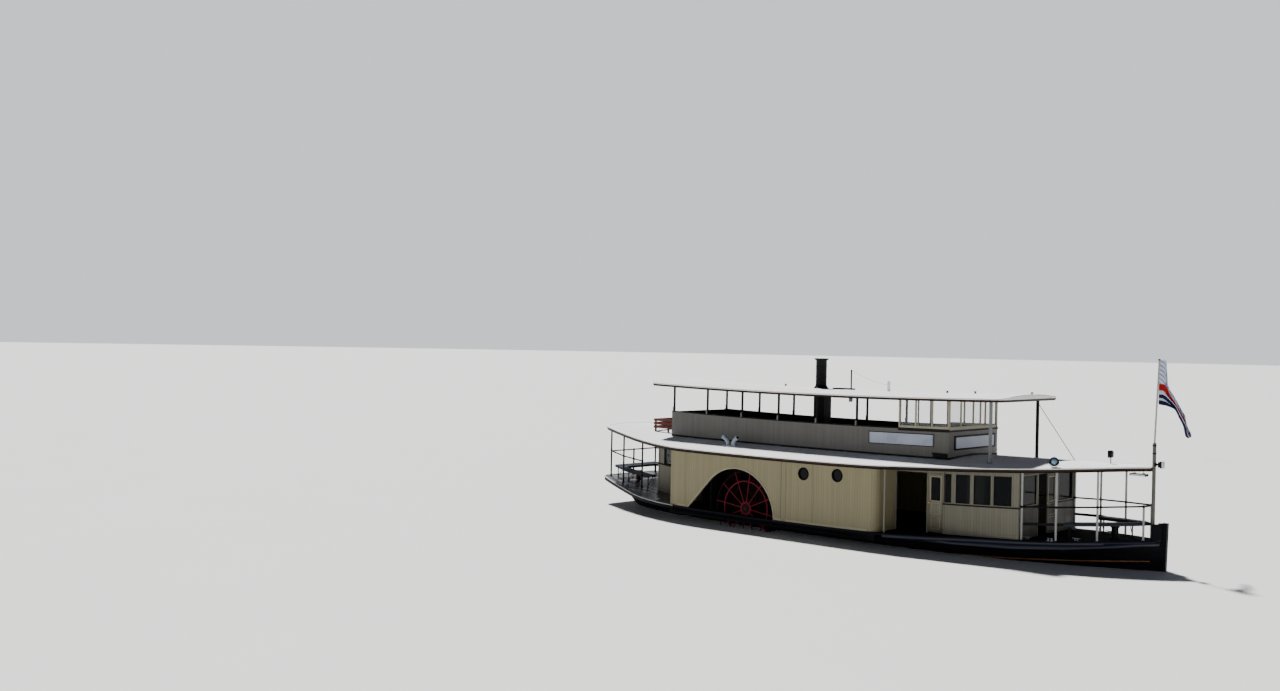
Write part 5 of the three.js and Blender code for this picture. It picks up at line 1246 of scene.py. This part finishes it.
shape = Shape().add(lathe(SPAR_PROFILE, SPAR_FOOT, steps=32))
shape.add(tube([on_staff(3.84), on_staff(5.2), on_staff(6.41)], [0.027, 0.026, 0.024], 20), 1)
shape.add(lathe(TRUCK, on_staff(6.405), (STAFF_TIP - STAFF_KNEE).normalized(), 24), 2)
for z in STAFF_BANDS:
    shape.add(lathe(STAFF_BAND, (STAFF_KNEE.x, 0, z), steps=32), 2)
for box in (STAFF_CLEAT, LAMP_BRACKET, LAMP_PLATE, LAMP_BACK, LAMP_BODY):
    shape.add(block(*box), 2)
shape.add(upright(11.598, 0.078, 1.88, 2.02, 0.008, 8), 2)
lamp_edge = [(LAMP_FACE_X, y, z) for y, z in rectangle(-0.09, 0.09, 3.12, 3.33)]
shape.add(sweep(LAMP_RIM, lamp_edge, FORWARD), 3).add(block(*LAMP_PANE), 4)
keys = ["post_paint", "post_light", "dark_trim", "lamp_metal", "lens"]
piece("flagstaff_turned", shape, keys, replaces=["flagstaff"])

# Two tubes slung under the fore roof
TUBE_Z, TUBE_AFT, TUBE_FORE = 2.87, 10.88, 11.37
shape = Shape()
for y in (-0.07, 0.07):
    shape.add(tube([(TUBE_AFT, y, TUBE_Z), (TUBE_FORE, y, TUBE_Z)], 0.036, 20))
    for x in (TUBE_AFT - 0.01, TUBE_FORE - 0.015):
        shape.add(tube([(x, y, TUBE_Z), (x + 0.025, y, TUBE_Z)], 0.042, 20), 1)
for x in (10.98, 11.26):
    shape.add(plate(x, 0, 2.90, 2.925, 0.015, 0.115, 0.004), 1)
    shape.add(upright(x, 0, 2.91, roof_top(x, 0) - 0.085, 0.009, 10), 1)
piece("fore_roof_tubes", shape, ["edge_white", "dark_trim"])

# Upper roof's hatch and vents, the aerial wire, and a lantern that hangs under the roof
HATCH_Z = top_roof_top(0, 0)
HATCH_BASE = (-0.15, -0.22, HATCH_Z - 0.02), (0.30, 0.22, HATCH_Z + 0.035), 0.012
HATCH_LID = (-0.17, -0.24, HATCH_Z + 0.03), (0.32, 0.24, HATCH_Z + 0.048), 0.006
VENTS = ((4.44, 0.0), (5.5, 0.0), (7.1, 0.9), (-2.9, 0.6))
VENT = [(0, -0.01), (0.05, -0.01), (0.05, 0.012), (0.028, 0.02), (0.026, 0.05), (0.055, 0.06), (0.05, 0.072),
        (0, 0.08)]
AERIAL = [(0.51, 0, 5.76), (0.9, 0, 5.60), (1.4, 0, 5.43), (1.8, 0, 5.33), (2.05, 0, 5.29)]
LANTERN = Vector((0.5, 0, 4.62))
LANTERN_HOOD = [(0, 0.215), (0.03, 0.21), (0.085, 0.16), (0.085, 0.15), (0, 0.15)]
LANTERN_FOOT = [(0, 0), (0.06, 0), (0.07, 0.012), (0.07, 0.024), (0, 0.024)]
LANTERN_GLASS = [(0, 0.02), (0.058, 0.022), (0.066, 0.085), (0.055, 0.152), (0, 0.152)]
shape = Shape().add(block(*HATCH_BASE)).add(block(*HATCH_LID))
for x, y in VENTS:
    shape.add(lathe(VENT, (x, y, top_roof_top(x, y)), steps=24))
shape.add(tube(AERIAL, 0.004, 6))
shape.add(tube([LANTERN + UP * 0.2, LANTERN + UP * 0.39], 0.008, 8))
for profile, mat in ((LANTERN_HOOD, 0), (LANTERN_FOOT, 0), (LANTERN_GLASS, 1)):
    shape.add(lathe(profile, LANTERN, steps=24), mat)
for at in around(LANTERN, 0.073, 6):
    shape.add(tube([at + UP * 0.015, at + UP * 0.155], 0.004, 6))
piece("roof_fittings", shape, ["dark_trim", "lens"])

# Cleats and fairleads along the deck
CLEATS, FAIRLEADS = ((8.30, 1.62), (9.72, 1.22), (-8.9, 1.9), (-6.3, 2.9)), ((9.1, 1.72), (-9.75, 1.88))
CLEAT_STEM = [(0, 0), (0.02, 0), (0.014, 0.02), (0.014, 0.055), (0, 0.055)]
CLEAT_HORN = (-0.13, 0.082), (-0.06, 0.066), (0.06, 0.066), (0.13, 0.082)
HORN_RADII = 0.009, 0.016, 0.016, 0.009
FAIRLEAD_PIN = [(0, 0), (0.03, 0), (0.022, 0.012), (0.022, 0.06), (0.032, 0.07), (0.03, 0.082), (0, 0.086)]
shape = Shape()
for x, y in CLEATS:
    z = deck(x) - 0.003
    shape.add(plate(x, -y, z, z + 0.014, 0.075, 0.03))
    for reach in (-0.04, 0.04):
        shape.add(lathe(CLEAT_STEM, (x + reach, -y, z + 0.012), steps=16))
    shape.add(tube([(x + dx, -y, z + dz) for dx, dz in CLEAT_HORN], HORN_RADII))
for x, y in FAIRLEADS:
    z = deck(x) - 0.003
    shape.add(plate(x, -y, z, z + 0.016, 0.10, 0.035))
    for reach in (-0.055, 0.055):
        shape.add(lathe(FAIRLEAD_PIN, (x + reach, -y, z + 0.014), steps=20))
piece("deck_cleats", shape.mirror(), "cowl_grey")

# A low guard between the fore posts, a little under the height of the bench
GUARD_LINE, GUARD_H = [(8.25, -1.83), (9.21, -1.575), (9.42, -1.46)], 0.50
guard = sweep(chamfered(0.03, 0.085, 0.006), lifted(GUARD_LINE, deck, GUARD_H), closed=False)
piece("fore_guard", Shape().add(guard).mirror(), "dark_trim")

# Boiler: bands round its barrel, and the doors of its two ends with their bolts
BARREL_Z, BARREL_BANDS, BARREL_ENDS = 1.23, (-1.1, -0.45, 0.35, 1.15, 1.8), ((1.9, 1), (-1.2, -1))
BARREL_BAND = [(0.557, -0.025), (0.568, -0.022), (0.568, 0.022), (0.557, 0.025)]
BARREL_DOOR = [(0, -0.005), (0.40, -0.005), (0.40, 0.012), (0.36, 0.022), (0.06, 0.05), (0, 0.052)]
BARREL_BOLT, BARREL_BOLTS_R = [(0, 0), (0.02, 0), (0.02, 0.012), (0, 0.016)], 0.48
shape = Shape()
for x in BARREL_BANDS:
    shape.add(lathe(BARREL_BAND, (x, 0, BARREL_Z), FORWARD, 64), 1)
for x, way in BARREL_ENDS:
    shape.add(lathe(BARREL_DOOR, (x, 0, BARREL_Z), FORWARD * way, 56))
    for at in around((x, 0, BARREL_Z), BARREL_BOLTS_R, 12, TO_PORT, UP):
        shape.add(lathe(BARREL_BOLT, at, FORWARD * way, 8), 1)
piece("boiler_fittings", shape, ["iron", "brass"])

# Stage: a plain pale floor at the waterline, an even sky and a high soft key from behind to port
FLOOR_RADII, FLOOR_STEPS = (0.5, 40, 600), 96
SKY_LOW, SKY_HIGH = (0.90, 0.93, 0.97), (0.02, 0.027, 0.05)
SKY_FROM, SKY_TO = 0.24, 0.34
KEY_STRENGTH, KEY_ANGLE, KEY_AT = 9, math.radians(4), (-28.8, 17, 54)


def make_floor():
    rows = list(zip(*(around((0, 0, 0), r, FLOOR_STEPS) for r in FLOOR_RADII)))
    verts, faces = grid(rows, close_rows=True)
    middle = tuple(range(0, len(verts), len(FLOOR_RADII)))
    mesh = bpy.data.meshes.new("floor")
    mesh.from_pydata(verts, [], [*faces, middle])
    mesh.materials.append(FINISHES["floor_paint"])
    floor = bpy.data.objects.new("floor", mesh)
    scene.collection.objects.link(floor)
    floor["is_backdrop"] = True


def make_sky():
    """A sky bright low down, all round, and dim overhead, so that shade falls as in open air."""
    scene.world = bpy.data.worlds.new("sky")
    sky = Tree(scene.world)
    height = sky.new("ShaderNodeSeparateXYZ", {0: sky.place.outputs["Generated"]}).outputs[2]
    share = sky.spread(height, SKY_FROM, SKY_TO, interpolation_type="SMOOTHSTEP")
    sky.feed(sky.nodes["Background"], {"Color": sky.mix(share, SKY_LOW, SKY_HIGH), "Strength": 1})


def make_key():
    light = bpy.data.lights.new("key", "SUN")
    light.energy, light.angle = KEY_STRENGTH, KEY_ANGLE
    key = bpy.data.objects.new("key", light)
    key.location = KEY_AT
    key.rotation_mode = "QUATERNION"
    key.rotation_quaternion = key.location.to_track_quat("Z", "Y")
    scene.collection.objects.link(key)


make_floor()
make_sky()
make_key()

low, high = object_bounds()
